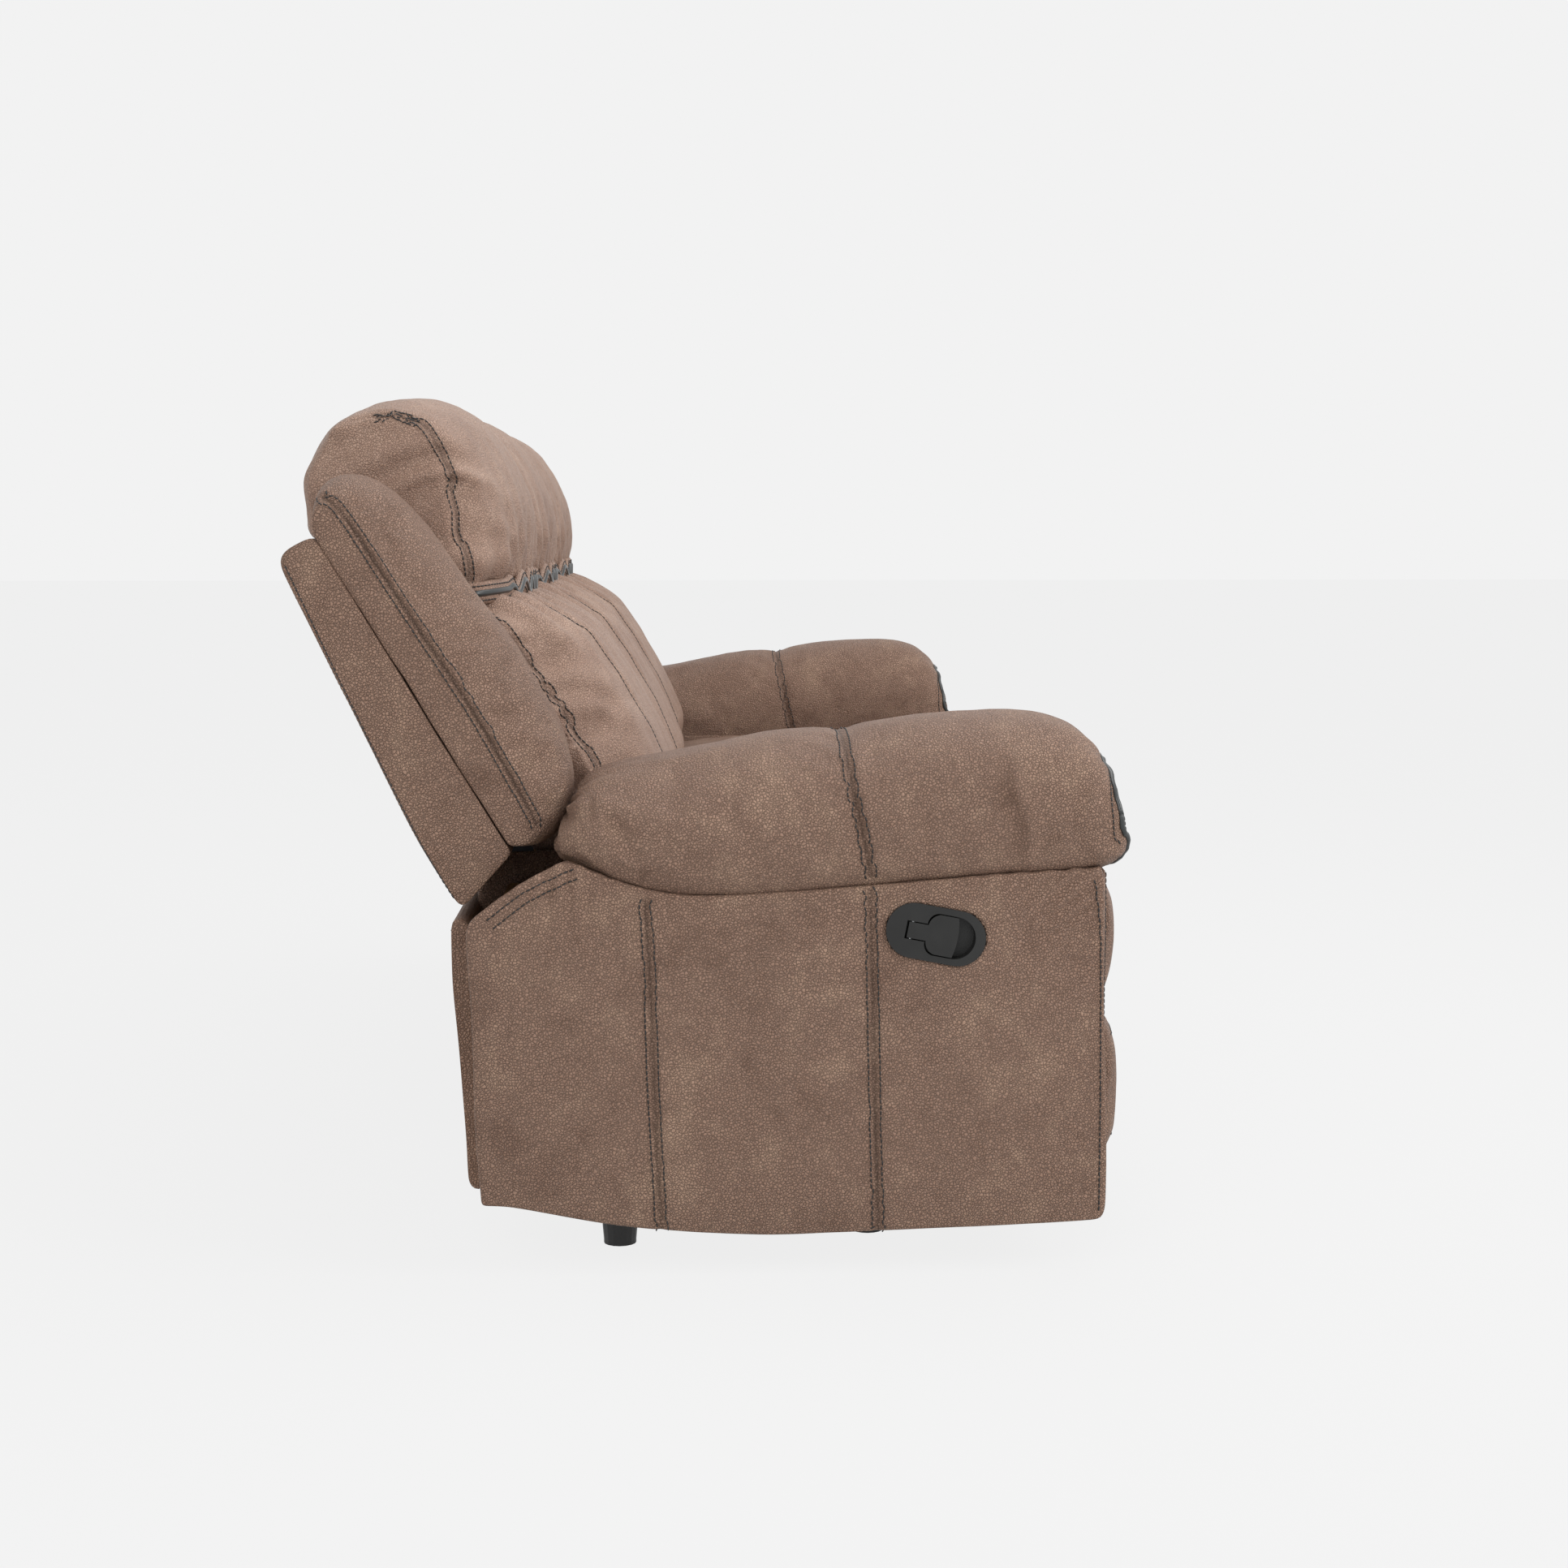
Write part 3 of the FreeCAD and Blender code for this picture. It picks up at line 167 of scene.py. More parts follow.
def nearest_on(line, points):
    """For each point the nearest place on a polyline."""
    line = np.array(line, float)
    best = np.full(len(points), np.inf)
    feet = np.zeros_like(points)
    for start, end in zip(line, line[1:]):
        run = end - start
        share = np.clip(((points - start) @ run) / (run @ run), 0, 1)
        foot = start + share[:, None] * run
        gap = np.linalg.norm(points - foot, axis=1)
        closer = gap < best
        best[closer] = gap[closer]
        feet[closer] = foot[closer]
    return best, feet


def from_line(flat, depth, height):
    """How far points lie from a line that runs across the sofa."""
    return np.hypot(flat[:, 1] - depth, flat[:, 2] - height)


def off_back(flat):
    """How far points lie in front of the plane that the back cushions rest on."""
    return (flat[:, 1:] - BACK_LOW) @ BACK_OUT


def by_ends(flat, reach):
    """1 at both ends of a seat's width, fading over the given reach."""
    return np.exp(-np.clip((HALF_SEAT - np.abs(flat[:, 0])) / reach, 0, None))


def waves(turns):
    return np.sin(2 * np.pi * turns)


def co_of(mesh):
    co = np.zeros(len(mesh.vertices) * 3)
    mesh.vertices.foreach_get("co", co)
    return co.reshape(-1, 3)


def set_co(mesh, co):
    mesh.vertices.foreach_set("co", np.asarray(co, np.float32).ravel())
    mesh.update()


def normals_of(mesh):
    normals = np.zeros(len(mesh.vertices) * 3)
    mesh.vertex_normals.foreach_get("vector", normals)
    return normals.reshape(-1, 3)


def flat_of(obj):
    """Where the skin's points are: in metres, and in this file's millimetres."""
    co = co_of(obj.data)
    return co, (co - (0, SHIFT, 0)) * 1000


def linked(obj):
    bpy.context.scene.collection.objects.link(obj)
    return obj


def evaluated(obj):
    return obj.evaluated_get(bpy.context.evaluated_depsgraph_get())


def opened(mesh):
    work = bmesh.new()
    work.from_mesh(mesh)
    return work


def put_back(work, mesh):
    """Turns the faces outwards, shades them smoothly and ends the work on a mesh."""
    bmesh.ops.recalc_face_normals(work, faces=work.faces)
    for face in work.faces:
        face.smooth = True
    work.to_mesh(mesh)
    work.free()


def mesh_object(name, co, faces, material):
    mesh = bpy.data.meshes.new(name)
    mesh.from_pydata([tuple(point) for point in co], [], faces)
    work = opened(mesh)
    bmesh.ops.remove_doubles(work, verts=work.verts, dist=1e-5)
    put_back(work, mesh)
    mesh.materials.append(material)
    return linked(bpy.data.objects.new(name, mesh))


def strip(low, count):
    """The faces between a ring of points and the next one."""
    faces = []
    for number in range(count):
        following = (number + 1) % count
        faces.append((low + number, low + following, low + count + following, low + count + number))
    return faces


def net(name, rows, centres, end_rings, material, bulge=0.0):
    """A closed skin over rows of points, each row closed round. Both end rows shrink in rings to a centre."""
    rows = [np.array(row) for row in rows]
    shares = [1 - ring / end_rings for ring in range(1, end_rings)]
    ends, tips = [], []
    for row, centre, other in ((rows[0], centres[0], rows[-1]), (rows[-1], centres[1], rows[0])):
        centre = np.array(centre, float)
        way = row.mean(axis=0) - other.mean(axis=0)
        way *= bulge / np.linalg.norm(way)
        ends.append([centre + (row - centre) * share + way * math.sqrt(1 - share * share)
                     for share in shares])
        tips.append(centre + way)
    rings = ends[0][::-1] + rows + ends[1]
    count = len(rows[0])
    faces = [face for ring in range(len(rings) - 1) for face in strip(ring * count, count)]
    top = len(rings) * count
    for number in range(count):
        following = (number + 1) % count
        faces.append((top, following, number))
        faces.append((top + 1, top - count + number, top - count + following))
    return mesh_object(name, metres(np.vstack(rings + [tips])), faces, material)


def refined(obj):
    """Divides the skin once more. The middle of each end, where hundreds of edges meet, stays out of it."""
    work = opened(obj.data)
    middles = [vert for vert in work.verts if len(vert.link_edges) > END_EDGES]
    bmesh.ops.delete(work, geom=middles, context="VERTS")
    work.to_mesh(obj.data)
    work.free()
    modifier = obj.modifiers.new("Refine", "SUBSURF")
    modifier.levels = modifier.render_levels = 1
    mesh = bpy.data.meshes.new_from_object(evaluated(obj))
    obj.modifiers.remove(modifier)
    old = obj.data
    obj.data = mesh
    bpy.data.meshes.remove(old)
    work = opened(mesh)
    bmesh.ops.holes_fill(work, edges=[edge for edge in work.edges if edge.is_boundary], sides=0)
    bmesh.ops.triangulate(work, faces=[face for face in work.faces if len(face.verts) > END_EDGES])
    put_back(work, mesh)
    return obj


def surface(obj):
    work = opened(obj.data)
    tree = BVHTree.FromBMesh(work)
    work.free()
    return tree


def laid(tree, points, lift=0.0):
    """Points in metres brought to the nearest place on a surface, and its normals there."""
    places, ways = [], []
    for point in points:
        place, way, _, _ = tree.find_nearest(Vector(point))
        places.append(np.array(place + way * lift))
        ways.append(np.array(way))
    return np.array(places), np.array(ways)


def beside(tree, points, offset, lift=0.0):
    """A line on a surface at a distance from another."""
    places, ways = laid(tree, points)
    run = np.gradient(places, axis=0)
    side = np.cross(run, ways)
    side /= np.maximum(np.linalg.norm(side, axis=1, keepdims=True), 1e-9)
    return laid(tree, places + side * offset, lift)[0]


def carve(obj, lines, depth, width):
    """Moves the skin along its normals near lines: in where depth is negative, out where it is positive."""
    co = co_of(obj.data)
    share = np.zeros(len(co))
    for line in lines:
        for first in range(0, len(line) - 1, 10):
            stretch = np.array(line[first:first + 11])
            close = (co > stretch.min(axis=0) - 3 * width) & (co < stretch.max(axis=0) + 3 * width)
            near = np.flatnonzero(close.all(axis=1))
            if len(near):
                gap = nearest_on(stretch, co[near])[0]
                share[near] = np.maximum(share[near], np.exp(-((gap / width) ** 2)))
    set_co(obj.data, co + normals_of(obj.data) * (depth * share)[:, None])
    return share


def note_painted_shade(obj, values):
    """Notes where the leather is pressed in at seams, for the painted shade that darkens those grooves."""
    # This attribute carries the painted shade of the seam grooves to the leather's colour.
    attribute = obj.data.attributes.get("painted_seam_shade") or obj.data.attributes.new("painted_seam_shade", "FLOAT", "POINT")
    before = np.zeros(len(values), np.float32)
    attribute.data.foreach_get("value", before)
    attribute.data.foreach_set("value", np.maximum(before, values).astype(np.float32))


def press(obj, tree, lines, depth, width, share=1.0):
    """Draws lines in like seams, and notes them for the painted shade in their grooves."""
    note_painted_shade(obj, share * carve(obj, [laid(tree, line)[0] for line in lines], -depth, width))


def shift_skin(obj, amounts):
    """Moves each point along its normal, in millimetres."""
    set_co(obj.data, co_of(obj.data) + normals_of(obj.data) * (amounts / 1000)[:, None])


def across_sofa(obj, sign, across=0.0):
    """Mirrors a piece where sign is -1, and moves it across."""
    co = co_of(obj.data)
    co[:, 0] = co[:, 0] * sign + across / 1000
    set_co(obj.data, co)
    if sign < 0:
        obj.data.flip_normals()
    return obj


def copied(obj, name, sign=1, across=0.0):
    copy = obj.copy()
    copy.data = obj.data.copy()
    copy.name = copy.data.name = name
    return across_sofa(linked(copy), sign, across)


def filled(obj, held, growth, cap):
    """Blows a cover up with Blender's cloth. Held points stay, the others move at most cap millimetres."""
    group = obj.vertex_groups.new(name="held")
    group.add([int(index) for index in np.flatnonzero(held)], 1.0, "REPLACE")
    start = co_of(obj.data)
    modifier = obj.modifiers.new("Filling", "CLOTH")
    modifier.settings.effector_weights.gravity = 0
    modifier.collision_settings.use_collision = False
    modifier.point_cache.frame_start = 1
    modifier.point_cache.frame_end = FILL_FRAMES
    values = {"quality": 5, "mass": 0.3, "tension_stiffness": 12, "compression_stiffness": 12,
              "shear_stiffness": 6, "bending_stiffness": 1.5, "use_pressure": True,
              "uniform_pressure_force": 4.0, "vertex_group_mass": "held", "shrink_min": -growth}
    for name, value in values.items():
        setattr(modifier.settings, name, value)
    scene = bpy.context.scene
    for frame in range(1, FILL_FRAMES + 1):
        scene.frame_set(frame)
    move = co_of(evaluated(obj).to_mesh()) - start
    reach = np.linalg.norm(move, axis=1, keepdims=True)
    limit = cap / 1000
    move *= np.where(reach > limit, limit / np.maximum(reach, 1e-9), 1.0)
    obj.modifiers.remove(modifier)
    obj.vertex_groups.remove(group)
    scene.frame_set(1)
    set_co(obj.data, start + move)


def tube(name, line, radius, material):
    """Round cord along a line in metres, closed at both ends."""
    sides = 10
    run = np.gradient(line, axis=0)
    run /= np.linalg.norm(run, axis=1, keepdims=True)
    up = np.cross(run[0], (0.31, 0.87, 0.38))
    co, faces = [], []
    for place, way in zip(line, run):
        up = up - way * (up @ way)
        up /= np.linalg.norm(up)
        side = np.cross(way, up)
        for turn in np.linspace(0, 2 * math.pi, sides, endpoint=False):
            co.append(place + radius * (math.cos(turn) * up + math.sin(turn) * side))
    for ring in range(len(line) - 1):
        faces += strip(ring * sides, sides)
    faces += [tuple(range(sides)), tuple(range(len(co) - sides, len(co)))]
    return mesh_object(name, co, faces, material)


def linear(red, green, blue):
    """A colour as seen on a screen, 0 to 255, as Blender's own colour."""
    values = []
    for value in (red, green, blue):
        value /= 255
        values.append(value / 12.92 if value <= 0.04045 else ((value + 0.055) / 1.055) ** 2.4)
    return (*values, 1.0)


def group_with(name, inputs, outputs):
    tree = bpy.data.node_groups.new(name, "ShaderNodeTree")
    for label, kind, value in inputs:
        socket = tree.interface.new_socket(name=label, in_out="INPUT", socket_type=kind)
        if value is not None:
            socket.default_value = value
    for label, kind in outputs:
        tree.interface.new_socket(name=label, in_out="OUTPUT", socket_type=kind)
    return tree, tree.nodes.new("NodeGroupInput"), tree.nodes.new("NodeGroupOutput")


def node(tree, kind, inputs=None, **settings):
    made = tree.nodes.new(kind)
    for name, value in settings.items():
        setattr(made, name, value)
    for name, value in (inputs or {}).items():
        if isinstance(value, bpy.types.NodeSocket):
            tree.links.new(value, made.inputs[name])
        else:
            made.inputs[name].default_value = value
    return made


def maths(tree, operation, first, second=0.0, clamp=False):
    made = node(tree, "ShaderNodeMath", {0: first, 1: second}, operation=operation, use_clamp=clamp)
    return made.outputs[0]


def vectors(tree, operation, first, second):
    return node(tree, "ShaderNodeVectorMath", {0: first, 1: second}, operation=operation).outputs[0]


def mixed(tree, share, first, second):
    return node(tree, "ShaderNodeMix", {0: share, 6: first, 7: second}, data_type="RGBA").outputs[2]


def cloudy(tree, vector, scale, detail, **more):
    """Blender's noise. Its Fac is a value, and its Color is three of them."""
    inputs = {"Vector": vector, "Scale": scale, "Detail": detail, **more}
    return node(tree, "ShaderNodeTexNoise", inputs).outputs


def ranged(tree, value, low, high, to_low=0.0, to_high=1.0):
    inputs = {"Value": value, "From Min": low, "From Max": high, "To Min": to_low, "To Max": to_high}
    return node(tree, "ShaderNodeMapRange", inputs).outputs["Result"]


def pebble_group():
    """Fine pebbled grain: rounded cells of uneven size, with painted shade in the crevices between them."""
    inputs = [("Vector", "NodeSocketVector", None), ("Cells per metre", "NodeSocketFloat", 300.0)]
    outputs = [("Height", "NodeSocketFloat"), ("Painted crevice shade", "NodeSocketFloat")]
    tree, given, result = group_with("Pebbled grain", inputs, outputs)
    centred = vectors(tree, "SUBTRACT", cloudy(tree, given.outputs[0], 170.0, 2.0)["Color"], (0.5, 0.5, 0.5))
    swayed = vectors(tree, "ADD", given.outputs[0], vectors(tree, "MULTIPLY", centred, (0.0045,) * 3))
    cells = node(tree, "ShaderNodeTexVoronoi", {"Vector": swayed, "Scale": given.outputs[1]},
                 feature="DISTANCE_TO_EDGE").outputs["Distance"]
    dome = maths(tree, "POWER", ranged(tree, cells, 0.0, 0.28), 0.6)
    fine = maths(tree, "MULTIPLY", cloudy(tree, given.outputs[0], 900.0, 1.0)["Fac"], 0.22)
    tree.links.new(maths(tree, "ADD", dome, fine), result.inputs["Height"])
    # The second output is painted shade: 1 in the crevices between the cells, fading to 0 on them.
    tree.links.new(ranged(tree, cells, 0.0, 0.14, 1.0, 0.0), result.inputs["Painted crevice shade"])
    return tree


def mottle_group():
    """Cloudy tan and brown patches, as on waxed leather that was rubbed by hand."""
    inputs = [("Vector", "NodeSocketVector", None), ("Contrast", "NodeSocketFloat", 1.0)]
    inputs += [(name, "NodeSocketColor", None) for name in ("Dark", "Middle", "Pale")]
    outputs = [("Color", "NodeSocketColor"), ("Rub", "NodeSocketFloat")]
    tree, given, result = group_with("Rubbed patches", inputs, outputs)
    wide = cloudy(tree, given.outputs[0], 7.0, 5.0, Roughness=0.62, Distortion=0.9)["Fac"]
    close = cloudy(tree, given.outputs[0], 26.0, 4.0, Roughness=0.6, Distortion=0.4)["Fac"]
    both = maths(tree, "ADD", maths(tree, "MULTIPLY", wide, 0.62), maths(tree, "MULTIPLY", close, 0.38))
    swing = maths(tree, "MULTIPLY", maths(tree, "SUBTRACT", both, 0.5), given.outputs["Contrast"])
    pale = ranged(tree, swing, 0.01, 0.16)
    colour = mixed(tree, ranged(tree, swing, -0.02, -0.17), given.outputs["Middle"], given.outputs["Dark"])
    tree.links.new(mixed(tree, pale, colour, given.outputs["Pale"]), result.inputs["Color"])
    tree.links.new(pale, result.inputs["Rub"])
    return tree


def blank(name):
    material = bpy.data.materials.new(name)
    material.use_nodes = True
    tree = material.node_tree
    shader = next(made for made in tree.nodes if made.type == "BSDF_PRINCIPLED")
    where = node(tree, "ShaderNodeTexCoord").outputs["Object"]
    return material, tree, shader, where


def wired(tree, shader, colour, rough, height, strength, distance):
    """Gives a finish its colour, its roughness where that changes, and its relief."""
    relief = node(tree, "ShaderNodeBump", {"Height": height, "Strength": strength, "Distance": distance})
    tree.links.new(colour, shader.inputs["Base Color"])
    tree.links.new(relief.outputs["Normal"], shader.inputs["Normal"])
    if rough is not None:
        tree.links.new(rough, shader.inputs["Roughness"])


def leather(name, groups, dark, middle, pale, cells=300.0, contrast=1.0, bump=0.9, roughness=0.52):
    material, tree, shader, where = blank(name)
    tones = {"Dark": linear(*dark), "Middle": linear(*middle), "Pale": linear(*pale)}
    patches = node(tree, "ShaderNodeGroup", {"Vector": where, "Contrast": contrast, **tones},
                   node_tree=groups["mottle"]).outputs
    grain = node(tree, "ShaderNodeGroup", {"Vector": where, "Cells per metre": cells},
                 node_tree=groups["pebble"]).outputs
    # Painted shade: the crevices between the grain's cells are darkened towards 0.62 of the dark tone.
    painted_grain_shade = maths(tree, "MULTIPLY", grain["Painted crevice shade"], 0.62)
    # Painted shade: where the skin is pressed in at seams, the colour is darkened towards 0.42 of the dark tone.
    pressed = node(tree, "ShaderNodeAttribute", attribute_name="painted_seam_shade").outputs["Fac"]
    seams = maths(tree, "MULTIPLY", maths(tree, "POWER", pressed, 3.0), 0.6)
    colour = mixed(tree, painted_grain_shade, patches["Color"], linear(*[value * 0.62 for value in dark]))
    colour = mixed(tree, seams, colour, linear(*[value * 0.42 for value in dark]))
    rough = ranged(tree, patches["Rub"], 0.0, 1.0, roughness, roughness + 0.1)
    fine = maths(tree, "MULTIPLY", cloudy(tree, where, 60.0, 3.0)["Fac"], 0.5)
    wired(tree, shader, colour, rough, maths(tree, "ADD", grain["Height"], fine), bump, 0.0018)
    shader.inputs["Specular IOR Level"].default_value = 0.36
    return material


def plastic(name, colour, roughness, speck=520.0, bump=0.35):
    material, tree, shader, where = blank(name)
    worn = cloudy(tree, where, 14.0, 4.0)["Fac"]
    pale = linear(*[value + 16 for value in colour])
    rough = ranged(tree, worn, 0.3, 0.7, roughness, roughness + 0.12)
    wired(tree, shader, mixed(tree, ranged(tree, worn, 0.4, 0.75), linear(*colour), pale), rough,
          cloudy(tree, where, speck, 3.0)["Fac"], bump, 0.0004)
    return material


def steel(name, colour, metallic, roughness):
    """Rolled steel with faint lengthwise marks and a little dust."""
    material, tree, shader, where = blank(name)
    marks = cloudy(tree, vectors(tree, "MULTIPLY", where, (40.0, 5.0, 40.0)), 12.0, 4.0)["Fac"]
    dust = ranged(tree, cloudy(tree, where, 18.0, 3.0)["Fac"], 0.35, 0.8)
    pale = linear(*[min(value + 34, 255) for value in colour])
    wired(tree, shader, mixed(tree, dust, linear(*colour), pale),
          ranged(tree, marks, 0.3, 0.7, roughness, roughness + 0.2), marks, 0.2, 0.0003)
    shader.inputs["Metallic"].default_value = metallic
    return material


def wood(name, early, late):
    """Plywood and pine boards: long fibres with darker growth bands."""
    material, tree, shader, where = blank(name)
    along = vectors(tree, "MULTIPLY", where, (3.0, 22.0, 22.0))
    bands = ranged(tree, cloudy(tree, along, 2.2, 5.0, Distortion=1.4)["Fac"], 0.35, 0.65, 0.0, 0.75)
    fibres = cloudy(tree, along, 26.0, 2.0)["Fac"]
    share = maths(tree, "ADD", bands, maths(tree, "MULTIPLY", fibres, 0.3), clamp=True)
    wired(tree, shader, mixed(tree, share, linear(*early), linear(*late)),
          ranged(tree, fibres, 0.0, 1.0, 0.6, 0.8), fibres, 0.25, 0.0006)
    return material


def thread(name, colour):
    """Twisted sewing thread, dark with a soft shine."""
    material, tree, shader, where = blank(name)
    twist = node(tree, "ShaderNodeTexWave", {"Vector": where, "Scale": 420.0, "Distortion": 1.0},
                 bands_direction="DIAGONAL").outputs["Fac"]
    pale = linear(*[value + 22 for value in colour])
    wired(tree, shader, mixed(tree, twist, linear(*colour), pale), None, twist, 0.3, 0.0003)
    shader.inputs["Roughness"].default_value = 0.5
    return material


FINISHES = {}


def finish(name):
    """Finishes are made once, when the first piece asks for one."""
    if not FINISHES:
        groups = {"pebble": pebble_group(), "mottle": mottle_group()}
        FINISHES.update({
            "body leather": leather("Brown rubbed leather", groups, (114, 86, 70), (140, 111, 94),
                                    (166, 137, 116), contrast=0.72),
            # A paler copy of the body leather. Its paler tones are painted light on the pillows and trim band,
            # while its finer grain, lower contrast, softer bump and lower roughness are their own.
            "cushion leather painted paler": leather("Rubbed leather painted paler", groups, (130, 101, 86), (156, 127, 110),
                                       (182, 154, 136), cells=330.0, contrast=0.7, bump=0.6, roughness=0.46),
            "cord": plastic("Dark waxed trim", (36, 38, 38), 0.26, 300.0, 0.2),
            "thread": thread("Black sewing thread", (16, 14, 13)),
            "moulded": plastic("Moulded black plastic", (15, 15, 14), 0.36),
            "glide": plastic("Black glide plastic", (22, 22, 22), 0.5),
            "mechanism": steel("Dark enamelled steel", (58, 58, 60), 0.7, 0.38),
            "bright": steel("Zinc-plated steel", (158, 160, 162), 1.0, 0.26),
            "board": wood("Pine and plywood", (196, 160, 114), (150, 112, 72)),
        })
    return FINISHES[name]


STITCHES = {}


def keep_row(body, tree, line, lift):
    """Keeps a row of stitches for a body, laid on a surface."""
    STITCHES.setdefault(body, []).append(laid(tree, line, lift)[0])


def sew(body, tree, seam, *offsets):
    """Keeps rows of stitches for a body, beside a seam that lies on a surface."""
    for offset in offsets:
        STITCHES.setdefault(body, []).append(beside(tree, seam, offset / 1000, 0.0003))


def stitch_tree(pitch, size, material):
    tree = bpy.data.node_groups.new("Row of stitches", "GeometryNodeTree")
    tree.interface.new_socket(name="Geometry", in_out="INPUT", socket_type="NodeSocketGeometry")
    for name, value in (("Pitch", pitch), ("Thread", size)):
        socket = tree.interface.new_socket(name=name, in_out="INPUT", socket_type="NodeSocketFloat")
        socket.default_value = value
    tree.interface.new_socket(name="Geometry", in_out="OUTPUT", socket_type="NodeSocketGeometry")
    given, result = tree.nodes.new("NodeGroupInput"), tree.nodes.new("NodeGroupOutput")
    path, gap, thick = given.outputs["Geometry"], given.outputs["Pitch"], given.outputs["Thread"]
    points = node(tree, "GeometryNodeCurveToPoints", {"Curve": path, "Length": gap}, mode="LENGTH").outputs
    bead = node(tree, "GeometryNodeMeshUVSphere", {"Segments": 6, "Rings": 4, "Radius": thick}).outputs[0]
    stretch = node(tree, "ShaderNodeCombineXYZ", {"X": 1.0, "Y": 1.0, "Z": 3.1}).outputs[0]
    long_bead = node(tree, "GeometryNodeTransform", {"Geometry": bead, "Scale": stretch}).outputs["Geometry"]
    spread = {"Points": points["Points"], "Instance": long_bead, "Rotation": points["Rotation"]}
    rows = node(tree, "GeometryNodeInstanceOnPoints", spread).outputs["Instances"]
    real = node(tree, "GeometryNodeRealizeInstances", {"Geometry": rows}).outputs["Geometry"]
    dressed = node(tree, "GeometryNodeSetMaterial", {"Geometry": real, "Material": material})
    tree.links.new(dressed.outputs["Geometry"], result.inputs[0])
    return tree


def input_name(tree, label):
    return next(item.identifier for item in tree.interface.items_tree
                if item.item_type == "SOCKET" and item.in_out == "INPUT" and item.name == label)


def sewn(name, lines, tree, pitch, size):
    curve = bpy.data.curves.new(name, "CURVE")
    curve.dimensions = "3D"
    for line in lines:
        spline = curve.splines.new("POLY")
        spline.points.add(len(line) - 1)
        for point, place in zip(spline.points, line):
            point.co = (*place, 1.0)
    path = linked(bpy.data.objects.new(name + "_path", curve))
    modifier = path.modifiers.new("Stitches", "NODES")
    modifier.node_group = tree
    modifier[input_name(tree, "Pitch")] = pitch
    modifier[input_name(tree, "Thread")] = size
    mesh = bpy.data.meshes.new_from_object(evaluated(path))
    mesh.name = name
    bpy.data.objects.remove(path)
    for face in mesh.polygons:
        face.use_smooth = True
    return linked(bpy.data.objects.new(name, mesh))


def attach(obj, body):
    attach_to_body(obj, body)


def cover(obj, body, replaced):
    attach(obj, body)
    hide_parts(replaced)


def cushion(name, profile, spine, half, crown, centre, material, step=10.0, middle=0.0, bulge=0.0):
    """A pillow across the seat: its side profile is drawn in towards a spine at both ends."""
    count = round(length(profile, True) / step)
    loop = smooth(profile, count, closed=True)
    feet = nearest_on(spine, loop)[1]
    rows = []
    for turn in np.linspace(-1, 1, round(2 * half / step) + 8):
        share = math.sin(turn * math.pi / 2) * 0.6 + turn * 0.4
        drawn = feet + (loop - feet) * crown(share)
        rows.append(np.column_stack([np.full(len(drawn), middle + share * half), drawn]))
    centres = [(middle - half, *centre), (middle + half, *centre)]
    obj = net(name, rows, centres, 14, material, bulge)
    return obj, np.array(rows)


def deep(share):
    return 0.58 + 0.42 * (1 - abs(share) ** 2.6) ** 0.55


def shallow(share):
    return 0.84 + 0.16 * (1 - abs(share) ** 6) ** 0.6


def square(power):
    """Nearly square ends: the profile draws in only at the very edge."""
    return lambda share: 0.985 + 0.015 * (1 - abs(share) ** power) ** 0.5


def ridges(co, across_from, size, seed):
    """Folds that run down from a gathered seam, as one wave across the seat with an uneven pitch."""
    sway = noise(co * (1.0, 0.3, 0.3), 0.11, seed)
    return waves((co[:, 0] - across_from) / size + 0.55 * sway)


HEAD = [on_back(787), on_back(787), on_back(870), (494, 862), (502, 925), (497, 966), (474, 1000),
        (432, 1023), (395, 1034), (355, 1038), (326, 1031), (298, 1015), (268, 965), (243, 900), (231, 850),
        (233, 826), (242, 811), (242, 811), (280, 812), (318, 812)]
LUMBAR = [(212, 471), (212, 471), on_back(486), on_back(486), on_back(778), on_back(778), (303, 805),
          (268, 804), (240, 796), (240, 796), (208, 789), (180, 770), (129, 706), (87, 634), (52, 560),
          (33, 510), (30, 488), (44, 472), (44, 472), (126, 465)]
SEAT_PAD = [(218, 380), (218, 380), (230, 415), (214, 440), (120, 455), (-20, 474), (-150, 484),
            (-300, 491), (-400, 488), (-460, 478), (-498, 452), (-514, 420), (-519, 360), (-512, 292),
            (-500, 281), (-482, 283), (-442, 292), (-442, 292), (-442, 380), (-442, 380)]
FOOT_PAD = [(-440, 76), (-440, 76), (-440, 262), (-440, 262), (-470, 271), (-496, 269), (-513, 252),
            (-524, 210), (-526, 165), (-523, 110), (-514, 80), (-498, 68), (-470, 68)]


